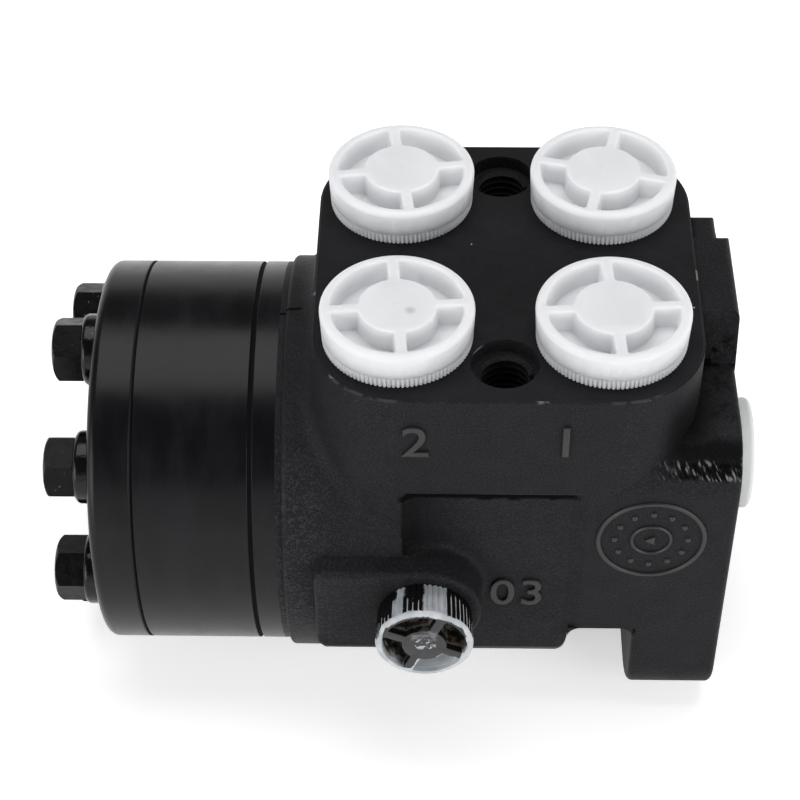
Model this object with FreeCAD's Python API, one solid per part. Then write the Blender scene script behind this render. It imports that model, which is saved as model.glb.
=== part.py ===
import FreeCAD, Part
import math
import os

# Hydraulic metering pump of the steering-unit kind, in millimetres.
# The origin is the centre of the column flange's face. X runs along the shaft, away from the body,
# Z points up out of the port face, and the small signal port faces -Y.
V = FreeCAD.Vector

# Overall lengths along the shaft
housing_len = 99.9
plate_t = 5.5
gear_w = 26.0
cover_t = 9.7
washer_t = 3.8

# Gear set and the round end of the casting
stack_r = 44.5
register_len = 1.4
barrel_step = 1.5
barrel_round = 1.1
barrel_len = 27.8
belly_step = 0.7
belly_round = 2.4
waist_drop = 6.7
notch_w = 14.8
rim_groove = 0.5

# Port block and its machined face
pad_z = 58.3
pad_tuck = 4.0
seam_land = 8.4
pad_right = 8.6
pad_corner_r = 19.6
pad_edge = 0.5
block_floor = -14.4
port_shift = 0.65
port_pitch_x = 44.9
port_pitch_y = 45.1
port_r = 10.48
port_depth = 16.0
port_chamfer = 1.2
pad_hole_pitch = 61.4
pad_hole_r = 6.0
pad_hole_depth = 20.0
pad_recess_r = 7.26
pad_recess_depth = 3.2

# Side recess beside the signal port, and the boss of that port
recess_depth = 1.5
recess_step = 16.9
recess_low = 32.0
recess_right = 32.3
recess_slant = 3.4
recess_lip = 1.2
recess_corner = 2.5
boss_inset = 4.9
boss_r = 12.6
boss_stand = 7.8
slab_corner = 2.5
signal_r = 6.58
signal_depth = 12.0

# Column flange
flange_half = 42.0
flange_t = 19.9
flange_round = 1.5
flange_hole_pcd = 82.5
flange_hole_r = 5.0
flange_hole_depth = 16.0
hump_front_y = 11.4
hump_back_y = 13.9
hump_foot_y = 14.4
hump_z = 55.6
lump_y = 21.0
lump_from = 9.0
lump_to = 2.8

# Cast blends
block_blend = 5.0
boss_blend = 1.6
boss_round = 1.2
hump_round = 1.8
notch_blend = 3.0

# Bore, sleeve and spool
bore_r = 19.0
running_gap = 0.03
sleeve_wall = 5.0
end_gap = 0.2
spool_bore_r = 9.8
spool_bore_end = 32.0
spool_inset = 1.8
neck_r = 10.5
neck_end = 1.5
neck_chamfer = 0.6
spline_teeth = 12
spline_major_r = 8.25
spline_minor_r = 7.45
spline_depth = 19.0
groove_r = 21.3
groove_w = 3.2
groove_inset = 11.9
groove_pitch = 9.0
groove_count = 6
sleeve_drill_r = 1.3
spool_groove_len = 12.6
spool_groove_w = 2.4
spool_groove_depth = 1.4
tooth_flank_deg = 30.0

# Cross pin, centring springs and their ring
pin_x = 36.0
pin_r = 3.0
pin_gap = 0.02
pin_end_gap = 0.4
pin_chamfer = 0.5
pin_slot_gap = 0.12
spool_travel_deg = 8.0
slot_from = 30.5
slot_to = 22.5
slot_half = 2.7
leaf_t = 0.5
leaf_gap = 0.02
leaf_bow = 1.1
leaf_edge_gap = 0.25
leaf_end_gap = 0.4
ring_recess = 1.3
ring_overlap = 0.4
ring_gap = 0.05
ring_end_gap = 0.1

# Thrust bearing between the sleeve and the flange end
shoulder_x = 14.0
race_t = 1.5
race_in_r = 11.0
race_out_gap = 0.15
needle_r = 1.2
needle_count = 14
needle_len = 4.6
needle_gap = 0.02
cage_t = 1.6
cage_in_r = 11.6
cage_gap = 0.3
pocket_gap = 0.06

# Seals
shaft_seal_r = 14.5
shaft_seal_w = 5.0
web_r = 10.8
dust_seal_r = 13.6
dust_seal_w = 3.2
seal_gap = 0.05
seal_lip = 1.2
seal_end_gap = 0.1
dust_lip = 0.8
dust_face_gap = 0.4
oring_edge = 4.5
oring_w = 2.2
oring_depth = 1.5
oring_gap = 0.05
oring_face_gap = 0.01
oring_bevel = 0.35

# Gear set: seven arcs in the ring, six lobes on the rotor
lobes = 6
arc_offset = 1.8
arc_r = 9.5
cusp_room = 7.4
lobe_gap = 0.04
root_gap = 0.15
root_round = 1.0
rotor_side_gap = 0.02
rotor_minor_r = 9.6
rotor_major_r = 11.4
rotor_teeth = 12
rotor_point_count = 150
rotor_step_count = 40

# Drive shaft that rocks between the rotor and the cross pin
head_inset = 0.6
head_half = 5.5
tooth_mid_gap = 0.06
tooth_end_gap = 0.36
head_tip_gap = 0.2
head_root_gap = 0.3
head_crown = 0.3
head_neck_drop = 1.2
drive_r = 6.2
drive_blend = 6.0
fork_r = 9.2
fork_reach = 8.0
fork_chamfer = 1.5
fork_tip_gap = 0.8
fork_gap = 0.06
fork_slot_spare = 1.2
spacer_r = 9.2
spacer_t = 4.6
spacer_gap = 0.1

# Distributor plate
plate_hole_r = 10.6
plate_port_r = 23.6
plate_port_w = 4.2
plate_port_len = 8.0
plate_port_round = 1.9

# Cover screws and washers
bolt_count = lobes + 1
bolt_edge = 12.3
bolt_r = 4.0
bolt_hole_r = 4.25
bolt_thread_gap = 0.05
bolt_grip = 14.0
bolt_tap_depth = 16.0
head_flats = 13.0
head_h = 6.8
head_flat_r = 4.9
head_dome = 1.6
head_spare = 0.2
screw_tip_chamfer = 1.0
screw_turns = (0.0, -15.0, 15.0, 0.0, 20.0, -10.0, 5.0)
washer_r = 8.2
washer_gap = 0.15
washer_round = 1.2
cover_round = 2.0

# Check valve behind the special screw
roll_pin_r = 1.5
roll_pin_len = 8.0
seat_bore_r = 3.4
seat_gap = 0.02
seat_hole_r = 1.9
seat_len = 4.0
ball_r = 2.8
ball_seat_gap = 0.02
ball_travel = 1.8
valve_drill_r = 2.0
valve_drill_len = 9.0

# Shipping plugs
plug_seat_gap = 0.1
plug_wall = 2.0
plug_web = 1.2
plug_round = 1.2
plug_foot = 0.4
plug_draft = 0.4
port_plug_r = 16.3
port_plug_h = 8.8
port_plug_hub_r = 8.6
port_plug_rim = 3.2
port_plug_spoke = 3.0
port_plug_pocket = 5.0
port_plug_stem = 10.5
port_plug_turns = {"near_left": 5.0, "near_right": 4.0, "far_left": 8.0, "far_right": -14.0}
signal_plug_r = 10.8
signal_plug_h = 8.9
signal_plug_hub_r = 4.9
signal_plug_rim = 1.7
signal_plug_spoke = 2.2
signal_plug_pocket = 5.5
signal_plug_stem = 9.0
signal_plug_turn = 66.0
shaft_plug_r = 13.1
shaft_plug_h = 8.5
shaft_plug_hub_r = 6.6
shaft_plug_rim = 2.6
shaft_plug_spoke = 2.6
shaft_plug_pocket = 5.0
shaft_plug_stem = 12.0
plug_stem_gap = 0.25

# How far a cutting or joining solid runs past the face it starts from
past = 1.0

# The casting's forms, each from the one that it stands on
barrel_r = stack_r + barrel_step
belly_r = barrel_r + belly_step
waist_r = belly_r - waist_drop
barrel_end = housing_len - barrel_len
belly_end = flange_t + notch_w
pad_half_y = barrel_r - pad_tuck
pad_left = housing_len - seam_land
port_centre_x = (pad_left + pad_right) / 2 + port_shift
recess_y = pad_half_y - recess_depth
recess_top = belly_r - recess_step
boss_x = barrel_end - boss_inset
boss_y = pad_half_y + boss_stand
boss_left = pad_left
groove_first = housing_len - groove_inset

# The gear set inside its outer radius; the room at the cusps keeps the lobes from undercutting
bolt_circle_r = stack_r - bolt_edge
arc_centre_r = bolt_circle_r + arc_offset
oring_r = stack_r - oring_edge
eccentric = (arc_centre_r - cusp_room) / (lobes + 1)
head_x = housing_len + plate_t + gear_w / 2 + head_inset

# Places worked out from the sizes above
plate_x = -housing_len
gear_x = plate_x - plate_t
cover_x = gear_x - gear_w
washer_x = cover_x - cover_t
bolt_head_x = washer_x - washer_t
pad_left_x = -pad_left
pad_right_x = -pad_right
port_xs = {"left": -port_centre_x - port_pitch_x / 2, "right": -port_centre_x + port_pitch_x / 2}
port_ys = {"near": -port_pitch_y / 2, "far": port_pitch_y / 2}
sleeve_r = bore_r - running_gap
sleeve_in_r = sleeve_r - sleeve_wall
spool_r = sleeve_in_r - running_gap
race_out_r = bore_r - race_out_gap
needle_x = -shoulder_x - race_t - needle_gap - needle_r
inner_race_x = needle_x - needle_r - needle_gap
sleeve_right_x = inner_race_x - race_t - needle_gap
sleeve_left_x = plate_x + end_gap
bolt_tip_x = plate_x + bolt_grip
flange_corner = flange_half - flange_hole_pcd / 2 * math.sin(math.pi / 4)


def cylinder(radius, start, end):
    """A round bar from one point to another."""
    along = end - start
    return Part.makeCylinder(radius, along.Length, start, along)


def bar_x(radius, x0, x1, y=0.0, z=0.0):
    return cylinder(radius, V(x0, y, z), V(x1, y, z))


def bar_y(radius, y0, y1, x, z):
    return cylinder(radius, V(x, y0, z), V(x, y1, z))


def bar_z(radius, z0, z1, x, y):
    return cylinder(radius, V(x, y, z0), V(x, y, z1))


def tube_x(outer, inner, x0, x1):
    return bar_x(outer, x0, x1).cut(bar_x(inner, x0, x1))


def block(x0, x1, y0, y1, z0, z1):
    return Part.makeBox(x1 - x0, y1 - y0, z1 - z0, V(x0, y0, z0))


def prism(points, along):
    """A straight bar whose section is a closed outline of points."""
    outline = Part.makePolygon(list(points) + [points[0]])
    return Part.Face(outline).extrude(along)


def revolved(profile, start, axis):
    """A turned solid from a closed outline of points."""
    outline = Part.makePolygon(list(profile) + [profile[0]])
    return Part.Face(outline).revolve(start, axis, 360)


def turned_x(profile):
    """A turned solid about X from (x, radius) pairs."""
    return revolved([V(x, 0, r) for x, r in profile], V(0, 0, 0), V(1, 0, 0))


def rounded_outline(a0, a1, b0, b1, radius, place):
    """A closed rectangle outline with round corners; place turns (a, b) into a point."""
    corners = [(a1 - radius, b0 + radius, -90), (a1 - radius, b1 - radius, 0),
               (a0 + radius, b1 - radius, 90), (a0 + radius, b0 + radius, 180)]
    arcs = []
    for a, b, start in corners:
        ends = [math.radians(start + turn) for turn in (0, 45, 90)]
        arcs.append([place(a + radius * math.cos(t), b + radius * math.sin(t)) for t in ends])
    edges = []
    for arc, following in zip(arcs, arcs[1:] + arcs[:1]):
        edges.append(Part.Arc(*arc).toShape())
        edges.append(Part.LineSegment(arc[2], following[0]).toShape())
    return Part.Wire(edges)


def fused(parts):
    whole = parts[0].fuse(parts[1:]) if len(parts) > 1 else parts[0]
    return whole.removeSplitter()


def turned_about_x(shape, degrees, y=0.0, z=0.0):
    copy = shape.copy()
    copy.rotate(V(0, y, z), V(1, 0, 0), degrees)
    return copy


def around_x(shape, count, start=0.0):
    """Copies of a shape spaced evenly about the shaft."""
    return [turned_about_x(shape, start + 360.0 * i / count) for i in range(count)]


def edges_where(shape, test):
    """The edges whose sampled points all pass a test."""
    picked = []
    for edge in shape.Edges:
        low, high = edge.ParameterRange
        samples = [edge.valueAt(low + (high - low) * t) for t in (0.1, 0.3, 0.5, 0.7, 0.9)]
        if all(test(p) for p in samples):
            picked.append(edge)
    return picked


def near(value, target, tolerance=0.02):
    return abs(value - target) < tolerance


def off_axis(p):
    return math.hypot(p.y, p.z)


def bolt_places():
    """The (y, z) places of the cover screws, the first one straight up."""
    turns = [math.radians(90 + 360.0 * i / bolt_count) for i in range(bolt_count)]
    return [(bolt_circle_r * math.cos(t), bolt_circle_r * math.sin(t)) for t in turns]


def flange_hole_places():
    reach = flange_hole_pcd / 2 * math.sin(math.pi / 4)
    return [(sy * reach, sz * reach) for sy in (-1, 1) for sz in (-1, 1)]


def groove_places():
    return [-groove_first + i * groove_pitch for i in range(groove_count)]


def housing_outside():
    """The casting before any machining, blended where its forms meet."""
    barrel = bar_x(barrel_r, plate_x + register_len, -barrel_end)
    barrel = barrel.makeFillet(barrel_round, edges_where(barrel, lambda p: near(p.x, plate_x + register_len)))
    register = bar_x(stack_r, plate_x, plate_x + register_len + barrel_round)
    belly = bar_x(belly_r, -barrel_end, -belly_end)
    belly = belly.makeFillet(belly_round, edges_where(belly, lambda p: near(p.x, -belly_end)))
    skirt = bar_x(belly_r, -boss_left, -barrel_end)
    skirt = skirt.makeFillet(barrel_round, edges_where(skirt, lambda p: near(p.x, -boss_left)))
    skirt = skirt.cut([block(-boss_left, -barrel_end, 0, belly_r, -belly_r, belly_r),
                       block(-boss_left, -barrel_end, -belly_r, 0, -boss_r / 2, belly_r)])
    waist = bar_x(waist_r, -belly_end, -flange_t)
    outline = rounded_outline(pad_left_x, pad_right_x, -pad_half_y, pad_half_y, pad_corner_r,
                              lambda a, b: V(a, b, block_floor))
    port_block = Part.Face(outline).extrude(V(0, 0, pad_z - block_floor))
    port_block = port_block.makeChamfer(pad_edge, edges_where(port_block, lambda p: near(p.z, pad_z)))
    round_end = fused([register, barrel, belly, skirt, waist, port_block])

    def on_round_and_block(p):
        on_round = near(off_axis(p), barrel_r) or near(off_axis(p), belly_r)
        on_wall = near(abs(p.y), pad_half_y) or p.x < pad_left_x + pad_corner_r
        return on_round and on_wall and p.z > 0 and p.x > pad_left_x - 1 and p.x < -barrel_end - 0.5

    round_end = round_end.makeFillet(block_blend, edges_where(round_end, on_round_and_block))

    sides = []
    for side in (-1, 1):
        floor_edge = side * recess_y
        wall_edge = side * boss_y
        slope = recess_slant / (pad_half_y - recess_y)
        floor_right = -recess_right - recess_slant
        wall_right = floor_right + slope * (boss_y - recess_y)
        points = [V(-barrel_end, floor_edge, -recess_low), V(floor_right, floor_edge, -recess_low),
                  V(wall_right, wall_edge, -recess_low), V(-barrel_end, wall_edge, -recess_low)]
        tool = prism(points, V(0, 0, recess_low + recess_top))
        sides.append(tool.makeFillet(recess_corner, edges_where(
            tool, lambda p: near(p.x, -barrel_end) and near(p.y, floor_edge))))
    round_end = round_end.cut(sides)
    round_end = round_end.makeFillet(recess_lip, edges_where(
        round_end, lambda p: near(p.z, recess_top) and abs(p.y) > recess_y + recess_depth / 2))

    flange_outline = rounded_outline(-flange_half, flange_half, -flange_half, flange_half, flange_corner,
                                     lambda a, b: V(-flange_t, a, b))
    flange = Part.Face(flange_outline).extrude(V(flange_t, 0, 0))
    rims = edges_where(flange, lambda p: near(p.x, 0.0) or near(p.x, -flange_t))
    flange = flange.makeFillet(flange_round, rims)
    hump_section = [(-hump_foot_y, 0), (-hump_foot_y, flange_half), (-hump_front_y, hump_z),
                    (hump_back_y, hump_z), (hump_foot_y, flange_half), (hump_foot_y, 0)]
    hump = prism([V(-flange_t + past, y, z) for y, z in hump_section], V(flange_t - past, 0, 0))
    lump = block(-lump_from, -lump_to, 0, lump_y, 0, hump_z)
    hump = fused([hump, lump])
    hump = hump.makeFillet(hump_round, edges_where(hump, lambda p: near(p.z, hump_z)))

    shoulder = Part.Face(flange_outline).extrude(V(flange_t - flange_round - pad_corner_r - pad_right, 0, 0))
    shoulder.translate(V(flange_round, 0, 0))
    lowest = block(-housing_len, 0, -stack_r, stack_r, -stack_r, block_floor)
    middle = block(-housing_len, 0, -pad_half_y + pad_corner_r, pad_half_y - pad_corner_r, -stack_r, stack_r)
    shoulder = shoulder.cut([lowest, middle])

    boss_root = -recess_y + past
    boss = bar_y(boss_r, -boss_y, boss_root, -boss_x, 0)
    slab = block(-boss_left, -boss_x, -boss_y, boss_root, -boss_r, boss_r)
    slab_ends = edges_where(slab, lambda p: near(p.x, -boss_left) and near(abs(p.z), boss_r))
    slab = slab.makeFillet(slab_corner, slab_ends)
    boss = fused([boss, slab])
    boss = boss.makeFillet(boss_round, edges_where(boss, lambda p: near(p.y, -boss_y)))
    webs = [notch_web(-flange_t, -1), notch_web(-belly_end, 1)]
    whole = fused([round_end, flange, shoulder, hump, boss] + webs)

    def at_boss_foot(p):
        from_boss = math.hypot(p.x + boss_x, p.z) if p.x > -boss_x else abs(p.z)
        return near(p.y, -recess_y) and near(from_boss, boss_r) and p.z > -2

    whole = whole.makeFillet(boss_blend, edges_where(whole, at_boss_foot))
    underside = block(plate_x, -belly_end + past, -stack_r, stack_r, -belly_r - past, -stack_r)
    return whole.cut(underside)


def notch_web(corner_x, side):
    """The hollow round in one upper corner of the notch between the round end and the flange."""
    x0, x1 = sorted((corner_x, corner_x + side * notch_blend))
    low = block_floor - notch_blend
    web = block(x0, x1, -pad_half_y, pad_half_y, low, block_floor)
    return web.cut(bar_y(notch_blend, -belly_r, belly_r, corner_x + side * notch_blend, low))


def housing():
    """The cast housing with its bore, ports, threads' plain bores and grooves."""
    body = housing_outside()
    cuts = [bar_x(bore_r, plate_x, -shoulder_x),
            bar_x(shaft_seal_r, -shoulder_x - past, -shoulder_x + shaft_seal_w),
            bar_x(web_r, -shoulder_x, past),
            bar_x(dust_seal_r, -dust_seal_w, past)]
    cuts += [bar_x(groove_r, x - groove_w / 2, x + groove_w / 2) for x in groove_places()]
    for x in port_xs.values():
        for y in port_ys.values():
            cuts.append(bar_z(port_r, pad_z - port_depth, pad_z + past, x, y))
            cuts.append(Part.makeCone(port_r, port_r + port_chamfer + past, port_chamfer + past,
                                      V(x, y, pad_z - port_chamfer)))
    for side in (-1, 1):
        y = side * pad_hole_pitch / 2
        cuts.append(bar_z(pad_recess_r, pad_z - pad_recess_depth, pad_z + past, -port_centre_x, y))
        cuts.append(bar_z(pad_hole_r, pad_z - pad_hole_depth, pad_z, -port_centre_x, y))
    for y, z in flange_hole_places():
        cuts.append(bar_x(flange_hole_r, -flange_hole_depth, past, y, z))
    cuts.append(bar_y(signal_r, -boss_y - past, -boss_y + signal_depth, -boss_x, 0))
    for y, z in bolt_places():
        cuts.append(bar_x(bolt_r + bolt_thread_gap, plate_x - past, plate_x + bolt_tap_depth, y, z))
    cuts += valve_cuts()
    cuts.append(tube_x(oring_r + oring_w / 2, oring_r - oring_w / 2, plate_x, plate_x + oring_depth))
    return body.cut(cuts)


def valve_places():
    """Where the check valve's pieces lie along the first screw's hole."""
    y, z = bolt_places()[0]
    seat_from = bolt_tip_x + roll_pin_len / 2
    ball_rest = seat_from + seat_len + math.sqrt(ball_r ** 2 - seat_hole_r ** 2) + ball_seat_gap
    chamber_end = ball_rest + ball_travel + ball_r + ball_seat_gap
    return y, z, seat_from, ball_rest, chamber_end


def valve_cuts():
    y, z, seat_from, ball_rest, chamber_end = valve_places()
    chamber = bar_x(seat_bore_r, plate_x, chamber_end, y, z)
    drill = bar_x(valve_drill_r, chamber_end - past, chamber_end + valve_drill_len, y, z)
    return [chamber, drill]


def distributor_plate():
    """The plate between the housing and the gear set, with one slot for each gear chamber."""
    plate = bar_x(stack_r, plate_x, gear_x)
    groove = tube_x(stack_r + past, stack_r - rim_groove, gear_x, gear_x + rim_groove)
    cuts = [groove, bar_x(plate_hole_r, gear_x - past, plate_x + past)]
    for y, z in bolt_places():
        cuts.append(bar_x(bolt_hole_r, gear_x - past, plate_x + past, y, z))
    slot_outline = rounded_outline(-plate_port_len / 2, plate_port_len / 2,
                                   plate_port_r - plate_port_w / 2, plate_port_r + plate_port_w / 2,
                                   plate_port_round, lambda a, b: V(gear_x - past, a, b))
    slot = Part.Face(slot_outline).extrude(V(plate_t + 2 * past, 0, 0))
    cuts += around_x(slot, bolt_count, 180.0 / bolt_count)
    return plate.cut(cuts)


def gear_ring():
    """The fixed ring: seven round teeth between wide roots, cut from a plain disc."""
    root_r = arc_centre_r - arc_r + 2 * eccentric + root_gap
    ring = tube_x(stack_r, root_r, cover_x, gear_x)
    teeth = []
    for y, z in bolt_places():
        scale = arc_centre_r / bolt_circle_r
        teeth.append(bar_x(arc_r, cover_x, gear_x, y * scale, z * scale))
    rim = bar_x(stack_r - past, cover_x, gear_x)
    ring = ring.fuse([tooth.common(rim) for tooth in teeth]).removeSplitter()
    corners = edges_where(ring, lambda p: near(off_axis(p), root_r) and cover_x + 0.1 < p.x < gear_x - 0.1)
    ring = ring.makeFillet(root_round, corners)
    cuts = [bar_x(bolt_hole_r, cover_x - past, gear_x + past, y, z) for y, z in bolt_places()]
    for face, inward in ((cover_x, 1), (gear_x, -1)):
        near_x, far_x = sorted((face, face + inward * oring_depth))
        cuts.append(tube_x(oring_r + oring_w / 2, oring_r - oring_w / 2, near_x, far_x))
        edge_near, edge_far = sorted((face, face + inward * rim_groove))
        cuts.append(tube_x(stack_r + past, stack_r - rim_groove, edge_near, edge_far))
    return ring.cut(cuts)


def rotor_point(turn):
    """One point of the six-lobed path that stays in touch with all seven round teeth."""
    teeth = lobes + 1
    radius = arc_r + lobe_gap
    t = math.radians(turn)
    lean = math.atan2(-math.sin(lobes * t), arc_centre_r / (eccentric * teeth) - math.cos(lobes * t))
    across = arc_centre_r * math.cos(t) - radius * math.cos(t + lean) - eccentric * math.cos(teeth * t)
    aside = -arc_centre_r * math.sin(t) + radius * math.sin(t + lean) + eccentric * math.sin(teeth * t)
    return V(0, aside, across + eccentric)


def rotor_outline(x):
    """The rotor's closed outline, through points that lie evenly along it."""
    steps = rotor_point_count * rotor_step_count
    path = [rotor_point(360.0 * i / steps) for i in range(steps + 1)]
    lengths = [0.0]
    for before, after in zip(path, path[1:]):
        lengths.append(lengths[-1] + (after - before).Length)
    chosen = []
    for point, length in zip(path, lengths[:-1]):
        if length >= len(chosen) * lengths[-1] / rotor_point_count:
            chosen.append(V(x, point.y, point.z))
    curve = Part.BSplineCurve()
    curve.interpolate(chosen, PeriodicFlag=True)
    return Part.Wire(curve.toShape())


def spline_section(x, teeth, root, tip, half_root, half_tip):
    """The outline of a ring of straight teeth at one place along X."""
    points = []
    for i in range(teeth):
        middle = 2 * math.pi * i / teeth
        for radius, half in ((root, -half_root), (tip, -half_tip), (tip, half_tip), (root, half_root)):
            turn = middle + math.asin(half / radius)
            points.append(V(x, radius * math.sin(turn), radius * math.cos(turn)))
    return points


def tooth_halves(minor, major, teeth):
    """Half widths of one tooth at its root and tip, so that tooth and space are alike."""
    pitch_half = math.pi * (minor + major) / 2 / teeth / 2
    flare = (major - minor) / 4 * math.tan(math.radians(tooth_flank_deg))
    return pitch_half + flare, pitch_half - flare


def gear_rotor():
    """The rotor that rolls inside the ring, with inner teeth for the drive shaft."""
    left = cover_x + rotor_side_gap
    right = gear_x - rotor_side_gap
    body = Part.Face(rotor_outline(left)).extrude(V(right - left, 0, 0))
    half_root, half_tip = tooth_halves(rotor_minor_r, rotor_major_r, rotor_teeth)
    section = spline_section(left - past, rotor_teeth, rotor_minor_r, rotor_major_r, half_root, half_tip)
    hole = prism(section, V(right - left + 2 * past, 0, 0))
    hole.translate(V(0, 0, eccentric))
    return body.cut(hole)


def tilted_to_rotor(shape):
    """A shaft piece built along X, swung about the cross pin so that its head meets the rotor."""
    tilt = math.degrees(math.atan2(eccentric, head_x - pin_x))
    copy = shape.copy()
    copy.rotate(V(-pin_x, 0, 0), V(0, 1, 0), tilt)
    return copy


def cardan_shaft():
    """The rocking drive shaft: crowned teeth at the rotor and a fork over the cross pin."""
    reach = math.hypot(head_x - pin_x, eccentric)
    middle = -pin_x - reach
    half_root, half_tip = tooth_halves(rotor_minor_r, rotor_major_r, rotor_teeth)
    sections = []
    for x, gap, crown in ((middle - head_half, tooth_end_gap, head_crown), (middle, tooth_mid_gap, 0.0),
                          (middle + head_half, tooth_end_gap, head_crown)):
        root = rotor_minor_r - head_root_gap - crown
        tip = rotor_major_r - head_tip_gap - crown
        points = spline_section(x, rotor_teeth, root, tip, half_root - gap, half_tip - gap)
        sections.append(Part.makePolygon(points + [points[0]]))
    head = Part.makeLoft(sections, True, True)
    fork_from = -pin_x - fork_reach
    fork_to = -spool_bore_end - fork_tip_gap
    head_right = middle + head_half
    neck = rotor_minor_r - head_neck_drop
    shaft = turned_x([(head_right - past, 0), (head_right - past, neck),
                      (head_right + past, neck), (head_right + past + drive_blend, drive_r),
                      (fork_from - drive_blend, drive_r), (fork_from, fork_r),
                      (fork_to - fork_chamfer, fork_r), (fork_to, fork_r - fork_chamfer), (fork_to, 0)])
    half_slot = pin_r + fork_gap
    slot = block(-pin_x - half_slot - fork_slot_spare, fork_to + past, -bore_r, bore_r, -half_slot, half_slot)
    whole = fused([head, shaft]).cut(slot)
    return tilted_to_rotor(whole)


def spacer():
    """The loose disc in the rotor's bore, between the drive shaft's head and the end cover."""
    left = cover_x + spacer_gap
    return bar_x(spacer_r, left, left + spacer_t, 0, eccentric)


def end_cover():
    """The plain end cover with a rounded rim and seven screw holes."""
    cover = bar_x(stack_r, washer_x, cover_x)
    outer = edges_where(cover, lambda p: near(p.x, washer_x))
    cover = cover.makeFillet(cover_round, outer)
    return cover.cut([bar_x(bolt_hole_r, washer_x - past, cover_x + past, y, z) for y, z in bolt_places()])


def hex_screw(place, turn):
    """A hexagon screw whose head bulges outward and falls away at its corners."""
    corner_r = head_flats / 2 / math.cos(math.pi / 6)
    left = bolt_head_x - head_h
    head = prism([V(left, corner_r * math.sin(math.pi * i / 3), corner_r * math.cos(math.pi * i / 3))
                  for i in range(6)], V(head_h, 0, 0))
    blank_r = corner_r + head_spare
    fall = blank_r - head_flat_r
    bulge_r = (fall ** 2 + head_dome ** 2) / (2 * head_dome)
    half_lean = math.asin(fall / bulge_r) / 2
    start = V(left, 0, head_flat_r)
    middle = V(left + bulge_r * (1 - math.cos(half_lean)), 0, head_flat_r + bulge_r * math.sin(half_lean))
    corner = V(left + head_dome, 0, blank_r)
    rest = Part.makePolygon([corner, V(bolt_head_x, 0, blank_r), V(bolt_head_x, 0, 0), V(left, 0, 0), start])
    outline = Part.Wire([Part.Arc(start, middle, corner).toShape()] + rest.Edges)
    dome = Part.Face(outline).revolve(V(0, 0, 0), V(1, 0, 0), 360)
    shank = turned_x([(bolt_head_x - past, 0), (bolt_head_x - past, bolt_r),
                      (bolt_tip_x - screw_tip_chamfer, bolt_r), (bolt_tip_x, bolt_r - screw_tip_chamfer),
                      (bolt_tip_x, 0)])
    screw = turned_about_x(fused([head.common(dome), shank]), turn)
    screw.translate(V(0, *place))
    return screw


def cover_bolts():
    return Part.makeCompound([hex_screw(*pair) for pair in list(zip(bolt_places(), screw_turns))[1:]])


def check_valve_screw():
    """The screw in the top hole, whose roll pin keeps the valve seat in place."""
    y, z = bolt_places()[0]
    screw = hex_screw((y, z), screw_turns[0])
    pin = bar_x(roll_pin_r, bolt_tip_x - roll_pin_len / 2, bolt_tip_x + roll_pin_len / 2 - seat_gap, y, z)
    return fused([screw, pin])


def cover_washers():
    rings = []
    for y, z in bolt_places():
        ring = tube_x(washer_r, bolt_r + washer_gap, bolt_head_x, washer_x)
        edges = edges_where(ring, lambda p: near(off_axis(p), washer_r) and near(p.x, bolt_head_x))
        ring = ring.makeFillet(washer_round, edges)
        ring.translate(V(0, y, z))
        rings.append(ring)
    return Part.makeCompound(rings)


def check_valve_seat():
    y, z, seat_from, ball_rest, chamber_end = valve_places()
    seat = bar_x(seat_bore_r - seat_gap, seat_from, seat_from + seat_len, y, z)
    return seat.cut(bar_x(seat_hole_r, seat_from - past, seat_from + seat_len + past, y, z))


def check_valve_ball():
    y, z, seat_from, ball_rest, chamber_end = valve_places()
    return Part.makeSphere(ball_r, V(ball_rest, y, z))


def control_sleeve():
    """The outer sleeve, with rows of drillings over the housing's grooves."""
    sleeve = tube_x(sleeve_r, sleeve_in_r, sleeve_left_x, sleeve_right_x)
    cuts = [bar_y(pin_r + pin_gap, -bore_r, bore_r, -pin_x, 0),
            tube_x(bore_r, sleeve_r - ring_recess, -slot_from - ring_overlap - ring_end_gap,
                   -slot_to + ring_overlap + ring_end_gap)]
    cuts.append(block(-slot_from, sleeve_right_x + past, -slot_half, slot_half, -bore_r, bore_r))
    for row, x in enumerate(groove_places()[:-1]):
        drill = bar_y(sleeve_drill_r, -bore_r, bore_r, x, 0)
        cuts += [turned_about_x(drill, 60 * i + 30 * (row % 2) + 15) for i in range(3)]
    return sleeve.cut(cuts)


def spring_ring():
    """The band round the sleeve that keeps the leaf springs in."""
    return tube_x(sleeve_r - ring_gap, sleeve_r - ring_recess + ring_gap,
                  -slot_from - ring_overlap, -slot_to + ring_overlap)


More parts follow.
